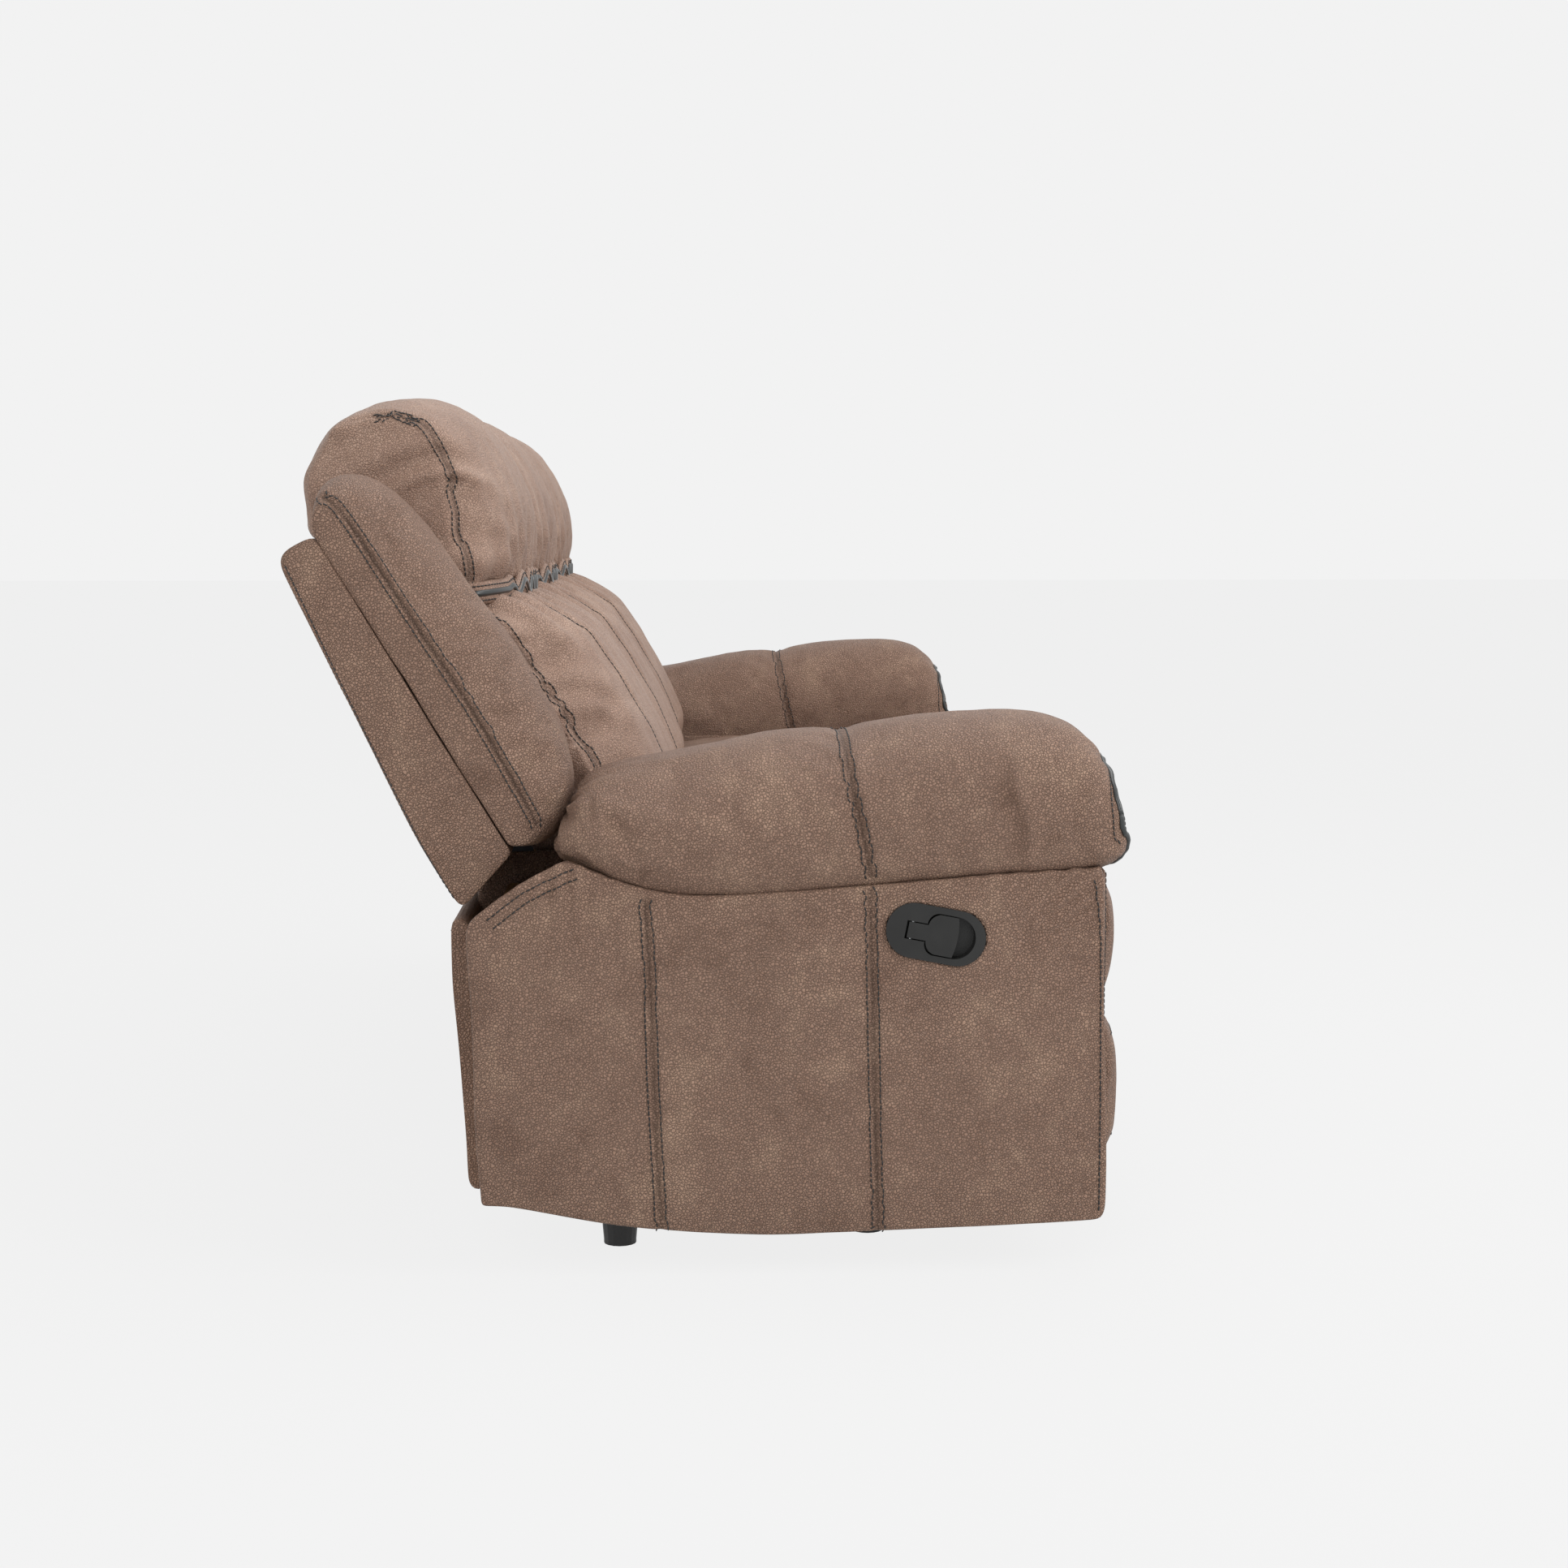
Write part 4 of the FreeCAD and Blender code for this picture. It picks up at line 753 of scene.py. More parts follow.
def back_pillows():
    """The lumbar and head pillows of one seat at the middle, with folds and seams."""
    # The pillows take the copy of the leather that is painted paler, for painted light on them.
    material = finish("cushion leather painted paler")
    lumbar, lumbar_rows = cushion("lumbar_pillow", LUMBAR, [on_back(486), on_back(778)], HALF_SEAT - 3, deep,
                                  (165, 610), material, bulge=3.0)
    flat = flat_of(lumbar)[1]
    side = np.abs(flat[:, 0]) > HALF_SEAT - 3
    edge = np.minimum(from_line(flat, *LUMBAR_TOP), from_line(flat, *LUMBAR_LOW))
    filled(lumbar, (off_back(flat) < 4) | side | (edge < 6), 0.035, 16)
    co, flat = flat_of(refined(lumbar))
    front = np.clip((off_back(flat) - 30) / 60, 0, 1)
    corner = np.clip((np.abs(flat[:, 0]) - 180) / 100, 0, 1)
    top = np.exp(-from_line(flat, *LUMBAR_TOP) / 75) * (5.0 + 5.0 * corner)
    low = np.exp(-from_line(flat, *LUMBAR_LOW) / 70) * 3.4
    amount = top * ridges(co, 0.0, 0.05, 3) + low * ridges(co, 0.02, 0.06, 5)
    amount += 1.8 * noise(co * (1, 0.35, 0.35), 0.035, 8) + 0.7 * noise(co * (1, 0.5, 0.5), 0.014, 9)
    amount += by_ends(flat, 55) * 4.4 * waves(flat[:, 2] / 66 + noise(co, 0.09, 12))
    shift_skin(lumbar, front * amount)
    head, head_rows = cushion("head_pillow", HEAD, [on_back(787), on_back(870), (470, 900), (430, 980)],
                              HALF_SEAT - 1, deep, (385, 915), material, bulge=3.0)
    flat = flat_of(head)[1]
    side = np.abs(flat[:, 0]) > HALF_SEAT - 3
    behind = (off_back(flat) < 4) & (flat[:, 2] < 875)
    filled(head, behind | side | (from_line(flat, *HEAD_LOW) < 6), 0.03, 14)
    co, flat = flat_of(refined(head))
    front = np.clip(1 - (flat[:, 1] - 300) / 140, 0, 1)
    amount = front * np.exp(-from_line(flat, *HEAD_LOW) / 80) * 5.0 * ridges(co, 0.01, 0.052, 17)
    amount += 1.7 * noise(co * (1, 0.3, 0.3), 0.04, 19) * (0.4 + 0.6 * front) + 0.6 * noise(co, 0.016, 21)
    amount += by_ends(flat, 50) * 3.8 * waves((flat[:, 2] + 0.5 * flat[:, 1]) / 60 + noise(co, 0.09, 23))
    shift_skin(head, amount)
    return (lumbar, lumbar_rows), (head, head_rows)


def along_net(rows, across, first, last, count=90):
    """A line down the front of a pillow at a share of its width, between two shares of its profile."""
    row = rows[int(round((across + 1) / 2 * (len(rows) - 1)))]
    marks = np.linspace(first, last, count) * (len(row) - 1)
    return metres(np.column_stack([np.interp(marks, np.arange(len(row)), column) for column in row.T]))


def share_of(rows, depth, height):
    """The share of the profile's length nearest to a place, measured at the middle of the pillow."""
    row = rows[len(rows) // 2]
    return float(np.argmin(np.hypot(row[:, 1] - depth, row[:, 2] - height))) / (len(row) - 1)


def dress_back(middle, side, body, lumbar, head):
    """Copies the pillows to one seat, sews them and lays the trim band between them."""
    for kind, (pillow, rows) in (("lumbar", lumbar), ("head", head)):
        obj = copied(pillow, f"{side}_{kind}_cover", across=middle)
        rows = rows + (middle, 0, 0)
        if kind == "lumbar":
            top, low = share_of(rows, *LUMBAR_TOP), share_of(rows, *LUMBAR_LOW)
            for across in (-0.42, 0.42):
                seam = along_net(rows, across, top + 0.01, low - 0.01)
                press(obj, surface(obj), [seam], 0.0016, 0.004, 0.5)
                sew(body, surface(obj), seam, 0)
        else:
            top, low = share_of(rows, *HEAD_TOP), share_of(rows, *HEAD_LOW)
        for across in (-0.965, 0.965):
            seam = along_net(rows, across, top + 0.004, low - 0.004)
            press(obj, surface(obj), [seam], 0.0026, 0.0045)
            sew(body, surface(obj), seam, *CLOSE_ROWS)
        cover(obj, body, f"{side}_{kind}_cushion")
    across = np.linspace(-HALF_SEAT + 4, HALF_SEAT - 4, 150)
    share = np.abs(across) / HALF_SEAT
    bent = 1 - np.clip((share - 0.6) / 0.14, 0, 1)
    wave = 8.5 * bent * np.sin(2 * np.pi * across / 69 + 1.1 * np.sin(across / 37.0))
    foot = (np.array(on_back(778)) + np.array(on_back(787))) / 2
    drawn = np.array([deep(value) for value in share]) * 1.015
    base = foot + (np.array((241.0, 803.0)) - foot) * drawn[:, None]
    place = np.column_stack([across + middle, base[:, 0] - 3.0, base[:, 1] + wave])
    # The band takes the same copy of the leather that is painted paler, for painted light.
    band = ribbon(f"{side}_trim_band", metres(place), 0.0145, finish("cushion leather painted paler"))
    attach(band, body)
    attach(tube(f"{side}_trim_cord", metres(place - (0, 4.5, 0)), 0.0044, finish("cord")), body)
    for offset in (-9.5, 9.5):
        keep_row(body, surface(band), metres(place + (0, -7.0, offset)), 0.0004)


def ribbon(name, line, half_height, material):
    """A soft raised strip along a line, rounded towards the front and closed behind."""
    turns = np.linspace(0, 2 * np.pi, 20, endpoint=False)
    co, faces = [], []
    for place in line:
        for turn in turns:
            height = half_height * np.sign(np.sin(turn)) * abs(np.sin(turn)) ** 0.7
            out = 0.006 * np.cos(turn)
            co.append((place[0], place[1] - out, place[2] + height))
    count = len(turns)
    for ring in range(len(line) - 1):
        faces += strip(ring * count, count)
    faces += [tuple(range(count)), tuple(range(len(co) - count, len(co)))]
    return mesh_object(name, co, faces, material)


WING = [(232, 505), (232, 505), on_back(560), on_back(700), on_back(866), on_back(866), (460, 896),
        (458, 916), (448, 931), (429, 940), (405, 937), (378, 920), (351, 890), (297, 813), (234, 726),
        (184, 637), (168, 593), (165, 569), (172, 533), (192, 508), (214, 501)]


def wing_crown(share):
    points = (-1, -0.93, -0.8, -0.6, -0.3, 0.2, 0.6, 0.85, 1)
    return float(np.interp(share, points, (0.50, 0.64, 0.80, 0.93, 1.0, 1.0, 0.95, 0.86, 0.7)))


def wing():
    """The padded wing beside the back pillows, fullest a third of the way in from its outer side."""
    obj = cushion("wing_pad", WING, [on_back(510), on_back(700), on_back(866)], 93.5, wing_crown, (290, 700),
                  finish("body leather"), step=8.0, middle=-973.0, bulge=3.0)[0]
    flat = flat_of(obj)[1]
    filled(obj, (off_back(flat) < 4) | (flat[:, 0] < -1065.5) | (flat[:, 0] > -880.5), 0.02, 9)
    co = co_of(refined(obj).data)
    shift_skin(obj, 1.3 * noise(co, 0.05, 31) + 0.7 * noise(co * (1, 0.6, 0.6), 0.02, 33))
    seam = side_line(-1066.0, [(452, 925), (426, 900), (353, 786), (275, 665), (200, 530)], 70)
    press(obj, surface(obj), [seam], 0.0028, 0.0045)
    return obj, seam


SHELL = [(278, 444), (278, 444), (231, 497), (231, 497), (455, 867), (455, 867), (462, 866), (488, 852),
         (495, 842), (493, 830), (417, 670), (340, 509), (296, 436), (288, 433)]
PANEL = [(268, 86), (268, 86), (233, 84), (128, 64), (57, 55), (-53, 48), (-166, 50), (-312, 55),
         (-447, 61), (-464, 63), (-469, 74), (-470, 124), (-468, 240), (-465, 319), (-464, 454),
         (-462, 484), (-462, 484), (-404, 480), (-191, 464), (-25, 453), (41, 455), (107, 471), (153, 490),
         (166, 495), (166, 495), (219, 467), (262, 436), (278, 421), (282, 405), (277, 315), (274, 171)]


def slab(name, outline, inner, outer, material, centre):
    """A padded panel in the side plane: flat behind, rolled over at its edge and softly swelled in front."""
    step, swell, rings = 8.0, 3.0, 46
    count = round(length(outline, True) / step)
    loop = smooth(outline, count, closed=True)
    centre = np.array(centre, float)
    away = loop - centre
    away /= np.linalg.norm(away, axis=1, keepdims=True)
    sign = math.copysign(1, outer - inner)
    rows = [np.column_stack([np.full(count, inner), loop - away * 2])]
    for inset, back in ((0.0, abs(outer - inner) * 0.5), (0.0, 3.2), (1.2, 1.2), (3.6, 0.2)):
        rows.append(np.column_stack([np.full(count, outer - sign * back), loop - away * inset]))
    edge = rows[-1][:, 1:]
    for ring in range(1, rings):
        share = 1 - ring / rings
        across = outer + sign * swell * (1 - share ** 6)
        rows.append(np.column_stack([np.full(count, across), centre + (edge - centre) * share]))
    return net(name, rows, [(inner, *centre), (outer + sign * swell, *centre)], 4, material)


def side_panel():
    """The near arm's outer face, puckered at its upper corners and pressed in behind the lever's bezel."""
    obj = refined(slab("side_leather", PANEL, -1098.5, -1116.0, finish("body leather"), (-95, 265)))
    co, flat = flat_of(obj)
    under_roll = np.clip((flat[:, 2] - 330) / 130, 0, 1)
    amount = 1.2 * noise(co, 0.09, 41) + 0.5 * noise(co, 0.03, 43)
    front_corner = np.exp(-from_line(flat, -425, 445) / 45)
    rear_corner = np.exp(-from_line(flat, 170, 470) / 40)
    amount += front_corner * 3.0 * waves((flat[:, 1] + flat[:, 2]) / 27 + 0.4 * noise(co, 0.05, 45))
    amount += rear_corner * 2.2 * waves(flat[:, 1] / 24 + 0.4 * noise(co, 0.05, 47))
    shift_skin(obj, amount * np.clip(0.4 + under_roll, 0, 1) * (co[:, 0] < -1.108))
    middle = np.array(BEZEL_MIDDLE)
    reach = BEZEL_HALF * np.array((math.cos(BEZEL_LEAN), math.sin(BEZEL_LEAN)))
    behind = nearest_on([middle + reach, middle - reach], flat[:, 1:])[0] < BEZEL_REACH
    co = co_of(obj.data)
    co[behind, 0] = np.where(co[behind, 0] < -1.1, -1.0925, -1.0895)
    set_co(obj.data, co)
    seams = [side_line(ARM_FACE, places, 90) for places in (
        [(74, 446), (69, 361), (66, 246), (57, 57)], [(-188, 458), (-191, 360), (-194, 215), (-199, 52)])]
    press(obj, surface(obj), seams, 0.0024, 0.0042)
    return obj, seams


def roll_rows():
    """The padded roll on the near arm, from its rear end to its nose."""
    depths = [176, 174, 168, 158, 146, 128, 109, 74, 40, 6, -28, -64, -101, -130, -153, -170, -212, -253,
              -307, -361, -392, -412, -430, -446, -458, -468, -476, -483, -488, -490.5]
    tops = [512, 524, 546, 562, 576, 586, 593, 599, 605, 612, 619, 626, 631, 633, 633, 637, 644, 650, 654,
            656, 655, 651, 645, 634, 622, 607, 590, 573, 557, 540]
    lows = [498, 493, 489, 486, 481, 472, 461, 449, 442, 440, 439, 440, 442, 445, 447, 448, 452, 456, 461,
            464, 466, 468, 470, 473, 475, 478, 482, 487, 493, 501]
    wide = [84, 92, 100, 108, 114, 119, 121, 122.5, 123, 123, 123, 123, 122.5, 122, 121.5, 121.5, 122.5,
            123, 123.5, 124, 124, 124, 123.5, 123, 122, 120.5, 118, 114, 108, 100]
    marks = np.concatenate([[0], np.cumsum(np.hypot(np.diff(depths), np.diff(tops)))])
    places = np.linspace(0, marks[-1], 96)
    rows = []
    turns = np.linspace(0, 2 * np.pi, 84, endpoint=False)
    along, up = np.cos(turns), np.sin(turns)
    tables = [np.interp(places, marks, values) for values in (depths, tops, lows, wide)]
    for depth, top, low, half in zip(*tables):
        across = np.sign(along) * np.abs(along) ** np.where(up > 0, 0.66, 0.4) * half
        height = np.sign(up) * np.abs(up) ** np.where(up > 0, 0.86, 0.62)
        rise = height * (top - low) * np.where(height > 0, 1 - ROLL_WAIST, ROLL_WAIST)
        level = low + (top - low) * ROLL_WAIST + rise
        rows.append(np.column_stack([ARM_MIDDLE + across, np.full(len(turns), depth), level]))
    return rows


def arm_roll():
    """The roll's leather, with a soft fold on its outer side and gathers at both ends."""
    obj = net("arm_bolster", roll_rows(), [(ARM_MIDDLE, 176, 506), (ARM_MIDDLE, -491, 522)], 12,
              finish("body leather"), bulge=4.0)
    flat = flat_of(obj)[1]
    held = (flat[:, 2] < 480 + 0.02 * np.abs(flat[:, 1])) | (flat[:, 1] < -478) | (flat[:, 1] > 160)
    filled(obj, held | (np.abs(flat[:, 1] + 170) < 6), 0.012, 6)
    co, flat = flat_of(refined(obj))
    upper = np.clip((flat[:, 2] - 465) / 40, 0, 1)
    amount = 1.4 * noise(co, 0.07, 51) + 0.5 * noise(co, 0.022, 53)
    fold = flat[:, 1] + 366 + 9 * waves((flat[:, 2] - 470) / 170)
    outer = np.clip((-1010 - flat[:, 0]) / 60, 0, 1) * np.clip((628 - flat[:, 2]) / 40, 0, 1)
    amount += outer * 3.6 * np.exp(-(fold / 8.5) ** 2) * np.clip((flat[:, 2] - 480) / 30, 0, 1)
    amount -= outer * 2.4 * np.exp(-((fold - 15) / 9) ** 2)
    angle = np.arctan2(flat[:, 2] - 545, flat[:, 0] - ARM_MIDDLE)
    for end, reach, height, folds, sway, seed in ((-470, 34, 1.3, 13, 2.0, 55), (172, 44, 3.4, 15, 2.2, 57)):
        gathers = np.sin(folds * angle + sway * noise(co, 0.08, seed))
        amount += height * np.exp(-np.abs(flat[:, 1] - end) / reach) * gathers
    shift_skin(obj, amount * (0.35 + 0.65 * upper))
    turn = smooth([(-1125, -190, 470), (-1128, -184, 500), (-1128, -174, 545), (-1110, -165, 592),
                   (-1070, -160, 625), (-1003, -158, 640), (-940, -158, 622), (-896, -164, 585),
                   (-880, -172, 540), (-882, -184, 490)], 120)
    seam = laid(surface(obj), metres(turn))[0]
    # The roll's seam groove is carved in and noted for its painted shade.
    note_painted_shade(obj, carve(obj, [seam], -0.003, 0.0045))
    return obj, seam


def seen(tree):
    """1 for the camera, mirrors and glass, and 0 for the light that falls on things."""
    path = node(tree, "ShaderNodeLightPath").outputs
    both = maths(tree, "MAXIMUM", path["Is Camera Ray"], path["Is Glossy Ray"])
    return maths(tree, "MAXIMUM", both, path["Is Transmission Ray"])


class SofaLooks(bpy.types.PropertyGroup):
    """What a user would change about the looks."""

    stitch_pitch: bpy.props.FloatProperty(
        name="Stitch pitch", description="From one stitch to the next", default=0.0068, min=0.004,
        unit="LENGTH")
    thread_radius: bpy.props.FloatProperty(
        name="Thread radius", description="Half the width of a stitch", default=0.00105, min=0.0003,
        unit="LENGTH")
    floor_colour: bpy.props.FloatVectorProperty(
        name="Floor colour", description="Floor and backdrop", subtype="COLOR", size=3, min=0, max=1,
        default=linear(242, 242, 242)[:3])
    lamp_power: bpy.props.FloatProperty(
        name="Lamp power", description="Share of the usual lamp light", default=1.0, min=0.0)


class SOFA_OT_stage(bpy.types.Operator):
    """Lay the floor, light the room and place the camera"""

    bl_idname = "sofa.stage"
    bl_label = "Stage"

    def execute(self, context):
        looks = context.scene.sofa_looks
        colour = (*looks.floor_colour, 1.0)
        material = bpy.data.materials.new("Pale floor")
        material.use_nodes = True
        tree = material.node_tree
        tree.nodes.clear()
        bright = node(tree, "ShaderNodeEmission", {"Color": colour, "Strength": 1.0})
        plain = node(tree, "ShaderNodeBsdfDiffuse", {"Color": linear(226, 226, 226)})
        share = maths(tree, "MULTIPLY", seen(tree), FLOOR_SHOWN)
        blended = node(tree, "ShaderNodeMixShader", {0: share, 1: plain.outputs[0], 2: bright.outputs[0]})
        tree.links.new(blended.outputs[0], node(tree, "ShaderNodeOutputMaterial").inputs["Surface"])
        mesh = bpy.data.meshes.new("floor")
        reach = 40.0
        mesh.from_pydata([(-reach, -reach, 0), (reach, -reach, 0), (reach, reach, 0), (-reach, reach, 0)], [],
                         [(0, 1, 2, 3)])
        mesh.materials.append(material)
        floor = linked(bpy.data.objects.new("floor", mesh))

        world = bpy.data.worlds.new("Pale room")
        world.use_nodes = True
        tree = world.node_tree
        tree.nodes.clear()
        backdrop = node(tree, "ShaderNodeBackground", {"Color": colour, "Strength": 1.0})
        room = node(tree, "ShaderNodeBackground", {"Color": (1.0, 1.0, 1.0, 1.0), "Strength": ROOM_LIGHT})
        shown = {0: seen(tree), 1: room.outputs[0], 2: backdrop.outputs[0]}
        blended = node(tree, "ShaderNodeMixShader", shown)
        tree.links.new(blended.outputs[0], node(tree, "ShaderNodeOutputWorld").inputs["Surface"])
        context.scene.world = world

        lamps = (("front_softbox", (-2.2, -3.4, 2.6), (0.0, 0.0, 0.7), 2.4, 105.0),
                 ("side_softbox", (-4.2, 1.0, 2.8), (0.0, 0.0, 0.5), 2.2, 62.0),
                 ("top_softbox", (0.3, -0.6, 3.6), (0.0, 0.0, 0.6), 2.6, 52.0))
        for name, place, aim, size, power in lamps:
            lamp = bpy.data.lights.new(name, "AREA")
            lamp.shape = "DISK"
            lamp.size = size
            lamp.energy = power * looks.lamp_power
            holder = linked(bpy.data.objects.new(name, lamp))
            holder.location = place
            holder.rotation_euler = (Vector(aim) - Vector(place)).to_track_quat("-Z", "Y").to_euler()

        camera = bpy.data.cameras.new("photo_camera")
        camera.lens = CAMERA_LENS
        camera.sensor_width = 36.0
        holder = linked(bpy.data.objects.new("photo_camera", camera))
        holder.location = CAMERA_PLACE
        holder.rotation_euler = Vector(CAMERA_WAY).to_track_quat("-Z", "Y").to_euler()
        context.scene.camera = holder
        context.scene.view_settings.view_transform = "Standard"
        return {"FINISHED"}


class SOFA_OT_back_pillows(bpy.types.Operator):
    """Fill the lumbar and head pillows of the three seats, with the trim band between them"""

    bl_idname = "sofa.back_pillows"
    bl_label = "Back pillows"

    def execute(self, context):
        lumbar, head = back_pillows()
        dress_back(-SEAT, "right", "right_back", lumbar, head)
        dress_back(0.0, "middle", "frame", lumbar, head)
        dress_back(SEAT, "left", "left_back", lumbar, head)
        for obj in (lumbar[0], head[0]):
            bpy.data.objects.remove(obj)
        return {"FINISHED"}


class SOFA_OT_wings(bpy.types.Operator):
    """Pad the wings beside the outer seats' backs"""

    bl_idname = "sofa.wings"
    bl_label = "Wings"

    def execute(self, context):
        near, seam = wing()
        near.name = near.data.name = "right_wing_pad"
        far = copied(near, "left_wing_pad", sign=-1)
        for obj, side, sign in ((near, "right", 1), (far, "left", -1)):
            sew(f"{side}_back", surface(obj), seam * (sign, 1, 1), *TWIN_ROWS)
            cover(obj, f"{side}_back", f"{side}_wing")
        return {"FINISHED"}


class SOFA_OT_back_shells(bpy.types.Operator):
    """Cover the outside backs"""

    bl_idname = "sofa.back_shells"
    bl_label = "Outside backs"

    def execute(self, context):
        for side, body, low, high in (("right", "right_back", -1067.0, -295.5),
                                      ("middle", "frame", -289.5, 289.5),
                                      ("left", "left_back", 295.5, 1067.0)):
            middle, half = (low + high) / 2, (high - low) / 2
            obj = refined(cushion(f"{side}_outside_back", SHELL, [(262, 470), (455, 820)], half, square(40),
                                  (360, 640), finish("body leather"), step=9.0, middle=middle)[0])
            co = co_of(obj.data)
            shift_skin(obj, 1.0 * noise(co, 0.11, 61) + 0.5 * noise(co, 0.035, 63))
            tree = surface(obj)
            if middle:
                outer = middle + math.copysign(half, middle)
                edge = side_line(outer, [(488, 832), (415, 672), (338, 511), (302, 446)], 80)
                keep_row(body, tree, edge, 0.0003)
            shares = np.linspace(-1, 1, 90)
            rear = [(middle + share * (half - 16), 494, 838 - 3 * share * share) for share in shares]
            sew(body, tree, metres(rear), -9)
            for across in (middle - half + 18, middle + half - 18):
                down = side_line(across, [(490, 822), (417, 670), (340, 509), (300, 440)], 80)
                press(obj, tree, [down], 0.002, 0.004)
                sew(body, tree, down, *CLOSE_ROWS)
            cover(obj, body, f"{side}_back_shell")
        return {"FINISHED"}


class SOFA_OT_arms(bpy.types.Operator):
    """Cover both arms: side panels, facings and bolsters"""

    bl_idname = "sofa.arms"
    bl_label = "Arms"

    def execute(self, context):
        panel, seams = side_panel()
        bolster, turn = arm_roll()
        panel.name, bolster.name = "right_side_leather", "right_arm_bolster"
        pieces = {"right": (panel, bolster), "left": (copied(panel, "left_side_leather", sign=-1),
                                                      copied(bolster, "left_arm_bolster", sign=-1))}
        for side, sign in (("right", 1), ("left", -1)):
            panel, bolster = pieces[side]
            panel_tree, bolster_tree, flip = surface(panel), surface(bolster), (sign, 1, 1)
            for seam in seams:
                sew("frame", panel_tree, seam * flip, *TWIN_ROWS)
            front = side_line(ARM_FACE, [(-452, 466), (-459, 406), (-461, 261), (-461, 76)], 90)
            sew("frame", panel_tree, front * flip, 0)
            rear = side_line(ARM_FACE, [(158, 478), (212, 452), (252, 422)], 40)
            sew("frame", panel_tree, rear * flip, *CLOSE_ROWS)
            sew("frame", bolster_tree, turn * flip, *TWIN_ROWS)
            self.nose(side, sign, bolster_tree)
            self.facing(side, sign)
            cover(panel, "frame", f"{side}_side_panel")
            cover(bolster, "frame", f"{side}_arm_roll")
        return {"FINISHED"}

    def nose(self, side, sign, tree):
        """The dark cord and two rows of stitches on the front of the bolster."""
        turns = np.linspace(0.0, 2 * np.pi, 120)

        def oval(wide, depth, tall):
            place = (ARM_MIDDLE - wide * np.cos(turns), np.full(120, depth), 544 + tall * np.sin(turns))
            return metres(np.column_stack(place)) * (sign, 1, 1)
        for size in (1.0, 0.83):
            keep_row("frame", tree, oval(118 * size, -470.0 - 60 * (1 - size), 68 * size), 0.0004)
        line = laid(tree, oval(108, -475.0, 62.5), 0.0012)[0]
        attach(tube(f"{side}_nose_cord", line, 0.0034, finish("cord")), "frame")

    def facing(self, side, sign):
        """The front and inner faces of the arm below the bolster, as one wrapped cover."""
        low, high, count = 66.0, 478.0, 190
        outline = [(-1096, -446), (-1096, -446), (-1096, -462), (-1088, -469), (-1040, -471), (-930, -471),
                   (-889, -469), (-879, -460), (-878, -380), (-878, 60), (-878, 288), (-878, 288),
                   (-886, 288), (-886, 288), (-886, -446), (-886, -446)]
        loop = smooth(outline, count, closed=True)
        rows = [np.column_stack([loop, np.full(count, height)]) for height in np.linspace(low, high, 52)]
        obj = refined(net(f"{side}_arm_facing", rows, [(-886.5, -440, low), (-886.5, -440, high)], 2,
                          finish("body leather")))
        co = co_of(obj.data)
        shift_skin(obj, 0.8 * noise(co, 0.07, 71) + 0.4 * noise(co, 0.03, 73))
        tree = surface(across_sofa(obj, sign))
        for across in (-1082, -894):
            line = metres([(across, -474, height) for height in np.linspace(78, 470, 80)]) * (sign, 1, 1)
            sew("frame", tree, line, 0)
        cover(obj, "frame", f"{side}_arm_cover")


class SOFA_OT_seats(bpy.types.Operator):
    """Fill the three seat pads and the three pads below them"""

    bl_idname = "sofa.seats"
    bl_label = "Seat and footrest pads"

    def execute(self, context):
        material = finish("body leather")
        seat = cushion("seat_pad", SEAT_PAD, [(-442, 300), (-442, 380), (218, 380)], HALF_SEAT - 1, shallow,
                       (-480, 410), material, bulge=2.0)[0]
        flat = flat_of(seat)[1]
        held = (flat[:, 2] < 382) & (flat[:, 1] > -445) | (flat[:, 1] > -444) & (flat[:, 2] < 300)
        held |= (np.abs(flat[:, 0]) > 287) | (from_line(flat, *SEAT_FRONT) < 7) | (flat[:, 1] > 200)
        filled(seat, held, 0.015, 7)
        co, flat = flat_of(refined(seat))
        top = np.clip((flat[:, 2] - 400) / 40, 0, 1)
        amount = 1.5 * noise(co, 0.06, 81) + 0.6 * noise(co, 0.024, 83)
        amount += by_ends(flat, 40) * top * 2.2 * waves(flat[:, 1] / 62 + noise(co, 0.1, 85))
        shift_skin(seat, amount * np.clip(0.2 + top, 0, 1))
        pad = cushion("foot_pad", FOOT_PAD, [(-442, 90), (-442, 250)], HALF_SEAT - 3, shallow, (-480, 170),
                      material, bulge=2.0)[0]
        flat = flat_of(pad)[1]
        filled(pad, (flat[:, 1] > -446) | (np.abs(flat[:, 0]) > 284), 0.015, 6)
        co = co_of(refined(pad).data)
        shift_skin(pad, 1.2 * noise(co, 0.06, 87) + 0.5 * noise(co, 0.024, 89))
        for middle, side, seat_body, pad_body, pad_node in (
                (-SEAT, "right", "right_seat", "right_footrest", "right_footrest_pad"),
                (0.0, "middle", "frame", "frame", "middle_lower_pad"),
                (SEAT, "left", "left_seat", "left_footrest", "left_footrest_pad")):
            obj = copied(seat, f"{side}_seat_pad", across=middle)
            front = cross_line(middle, 278, -440, 486, 110)
            sides = [metres([(middle + across, depth, 470) for depth in np.linspace(-430, 190, 120)])
                     for across in (-262, 262)]
            press(obj, surface(obj), [front, *sides], 0.003, 0.005)
            tree = surface(obj)
            sew(seat_body, tree, front, *TWIN_ROWS)
            for line in sides:
                sew(seat_body, tree, line, 0)
            cover(obj, seat_body, f"{side}_seat_cushion")
            obj = copied(pad, f"{side}_foot_pad", across=middle)
            for height in (100, 236):
                sew(pad_body, surface(obj), cross_line(middle, 272, -526, height, 110), 0)
            cover(obj, pad_body, pad_node)
        for obj in (seat, pad):
            bpy.data.objects.remove(obj)
        return {"FINISHED"}


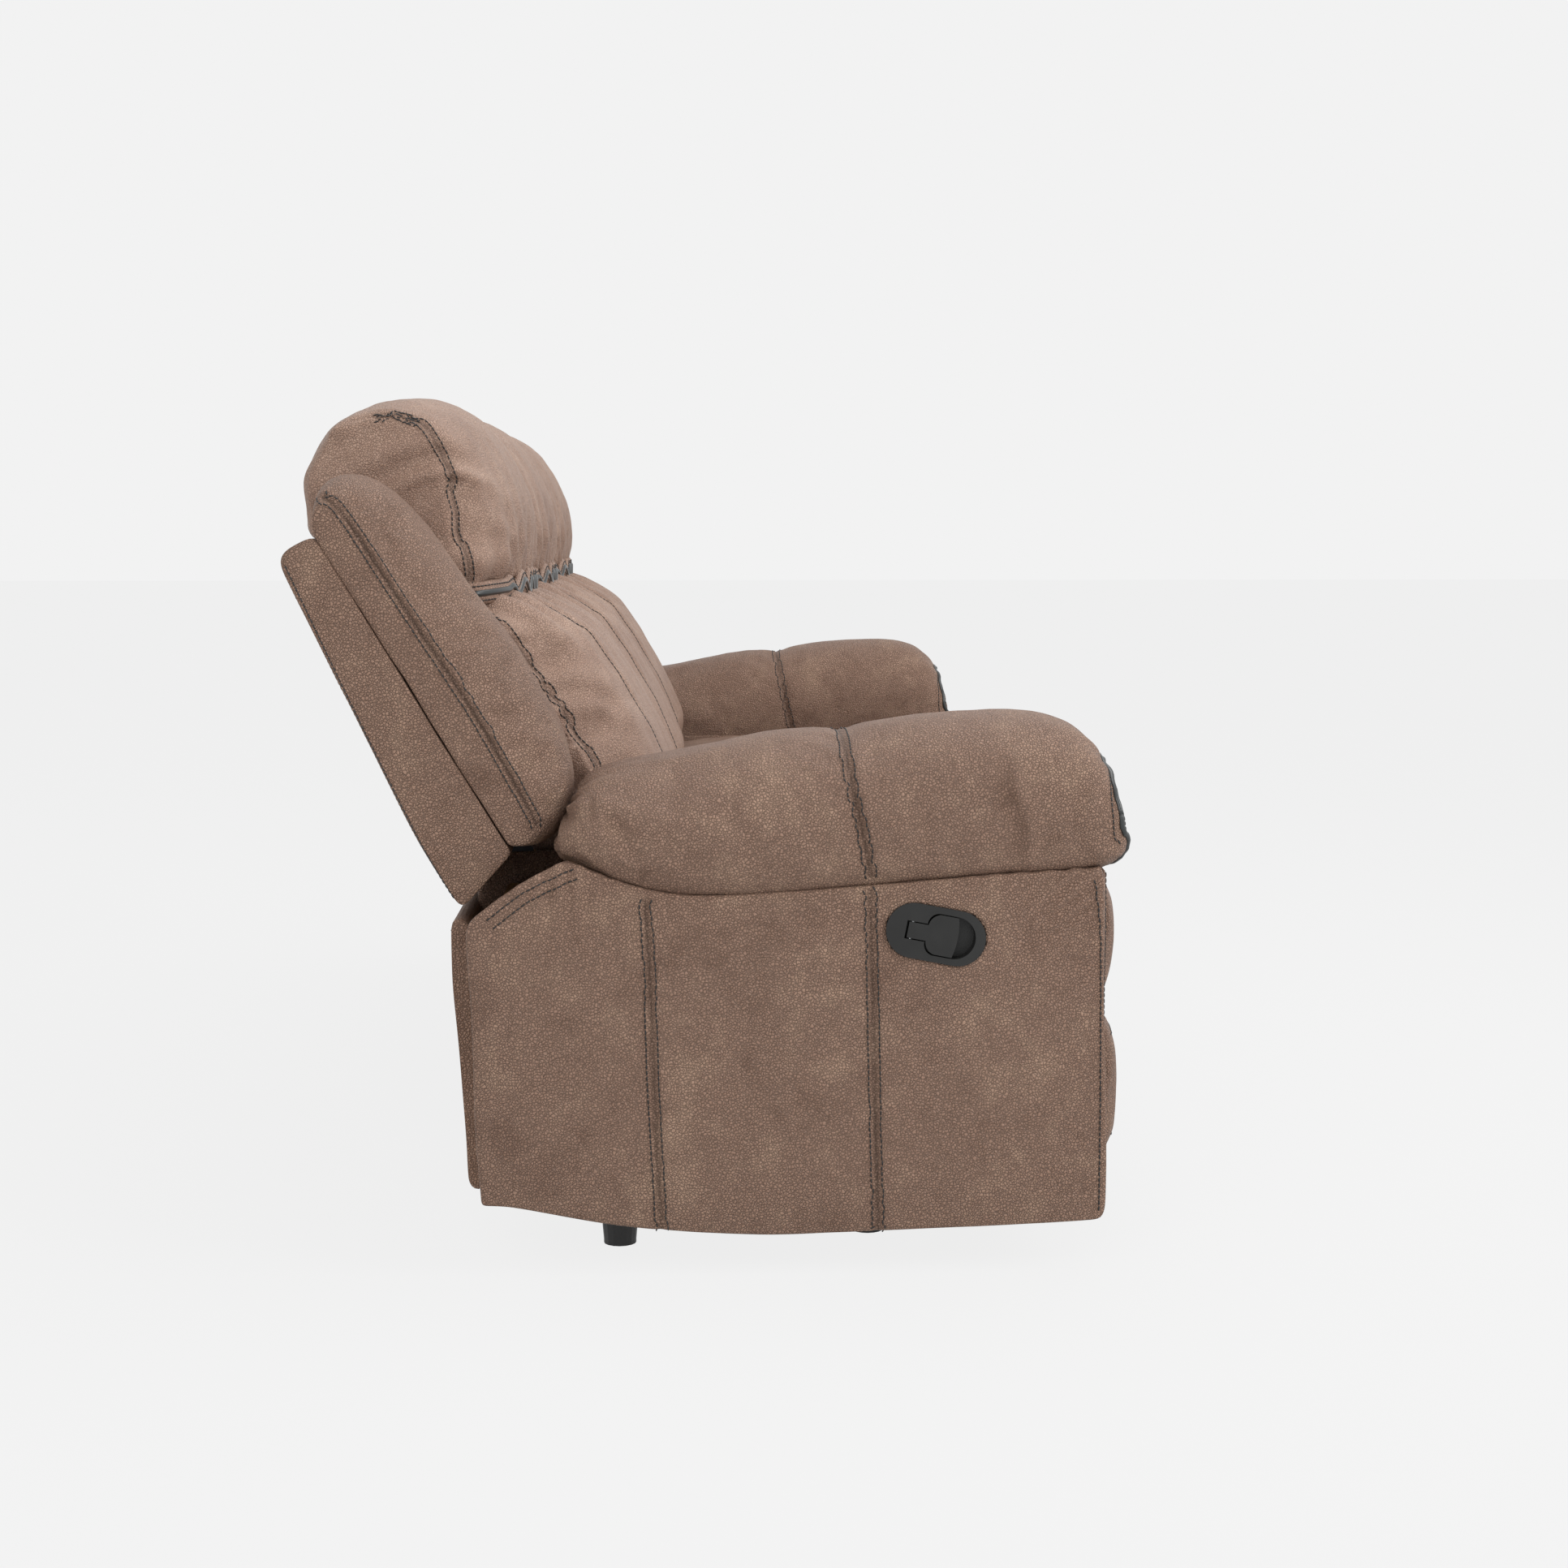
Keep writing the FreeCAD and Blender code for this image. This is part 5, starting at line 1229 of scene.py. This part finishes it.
class SOFA_OT_tailgate(bpy.types.Operator):
    """Cover the panel below the backs at the rear"""

    bl_idname = "sofa.tailgate"
    bl_label = "Rear panel"

    def execute(self, context):
        outline = [(282, 412), (282, 412), (290, 419), (303, 418), (304, 410), (304, 377), (303, 337),
                   (296, 256), (289, 155), (286, 96), (278, 91), (269, 92), (269, 92), (277, 240)]
        obj = refined(cushion("rear_panel", outline, [(277, 110), (285, 260), (292, 400)], 1061.5, square(60),
                              (288, 260), finish("body leather"), step=11.0)[0])
        shift_skin(obj, 0.6 * noise(co_of(obj.data), 0.1, 91))
        tree = surface(obj)
        for across in (-350, 350):
            down = side_line(across, [(308, 400), (300, 256), (292, 100)], 60)
            press(obj, tree, [down], 0.002, 0.004)
            sew("frame", tree, down, *TWIN_ROWS)
        sew("frame", tree, cross_line(0.0, 1050, 308, 404, 260), 0)
        cover(obj, "frame", "tailgate_panel")
        return {"FINISHED"}


class SOFA_OT_frame_parts(bpy.types.Operator):
    """Finish the steel, wood and moulded parts, which keep the frame's own shapes"""

    bl_idname = "sofa.frame_parts"
    bl_label = "Frame parts"

    def execute(self, context):
        slots = {"mechanism_steel": "mechanism", "bright_steel": "bright", "frame_wood": "board",
                 "lever_plastic": "moulded", "glide_plastic": "glide"}
        for part in FRAME["record"]["subparts"]:
            kind = slots.get(part["material_slot"])
            if kind:
                mesh = FRAME["nodes"][part["node"]].data
                mesh.materials.clear()
                mesh.materials.append(finish(kind))
        return {"FINISHED"}


class SOFA_OT_stitching(bpy.types.Operator):
    """Sew every row that the covers left, one mesh for each moving part"""

    bl_idname = "sofa.stitching"
    bl_label = "Stitching"

    def execute(self, context):
        looks = context.scene.sofa_looks
        tree = stitch_tree(looks.stitch_pitch, looks.thread_radius, finish("thread"))
        for body, lines in STITCHES.items():
            obj = sewn(f"{body}_stitches", lines, tree, looks.stitch_pitch, looks.thread_radius)
            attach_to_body(obj, body)
        return {"FINISHED"}


class SOFA_PT_panel(bpy.types.Panel):
    """The sofa's pieces and sizes"""

    bl_idname = "SOFA_PT_panel"
    bl_label = "Reclining sofa"
    bl_space_type = "VIEW_3D"
    bl_region_type = "UI"
    bl_category = "Sofa"

    def draw(self, context):
        looks = context.scene.sofa_looks
        for name in ("stitch_pitch", "thread_radius", "floor_colour", "lamp_power"):
            self.layout.prop(looks, name)
        for operator in OPERATORS:
            self.layout.operator(operator.bl_idname)


OPERATORS = (SOFA_OT_stage, SOFA_OT_frame_parts, SOFA_OT_back_shells, SOFA_OT_wings, SOFA_OT_back_pillows,
             SOFA_OT_arms, SOFA_OT_seats, SOFA_OT_tailgate, SOFA_OT_stitching)
CLASSES = (SofaLooks, *OPERATORS, SOFA_PT_panel)


def register():
    for made in CLASSES:
        bpy.utils.register_class(made)
    bpy.types.Scene.sofa_looks = bpy.props.PointerProperty(type=SofaLooks)


def unregister():
    del bpy.types.Scene.sofa_looks
    for made in reversed(CLASSES):
        bpy.utils.unregister_class(made)


def main():
    register()
    for operator in OPERATORS:
        area, name = operator.bl_idname.split(".")
        getattr(getattr(bpy.ops, area), name)()


if __name__ == "__main__":
    main()
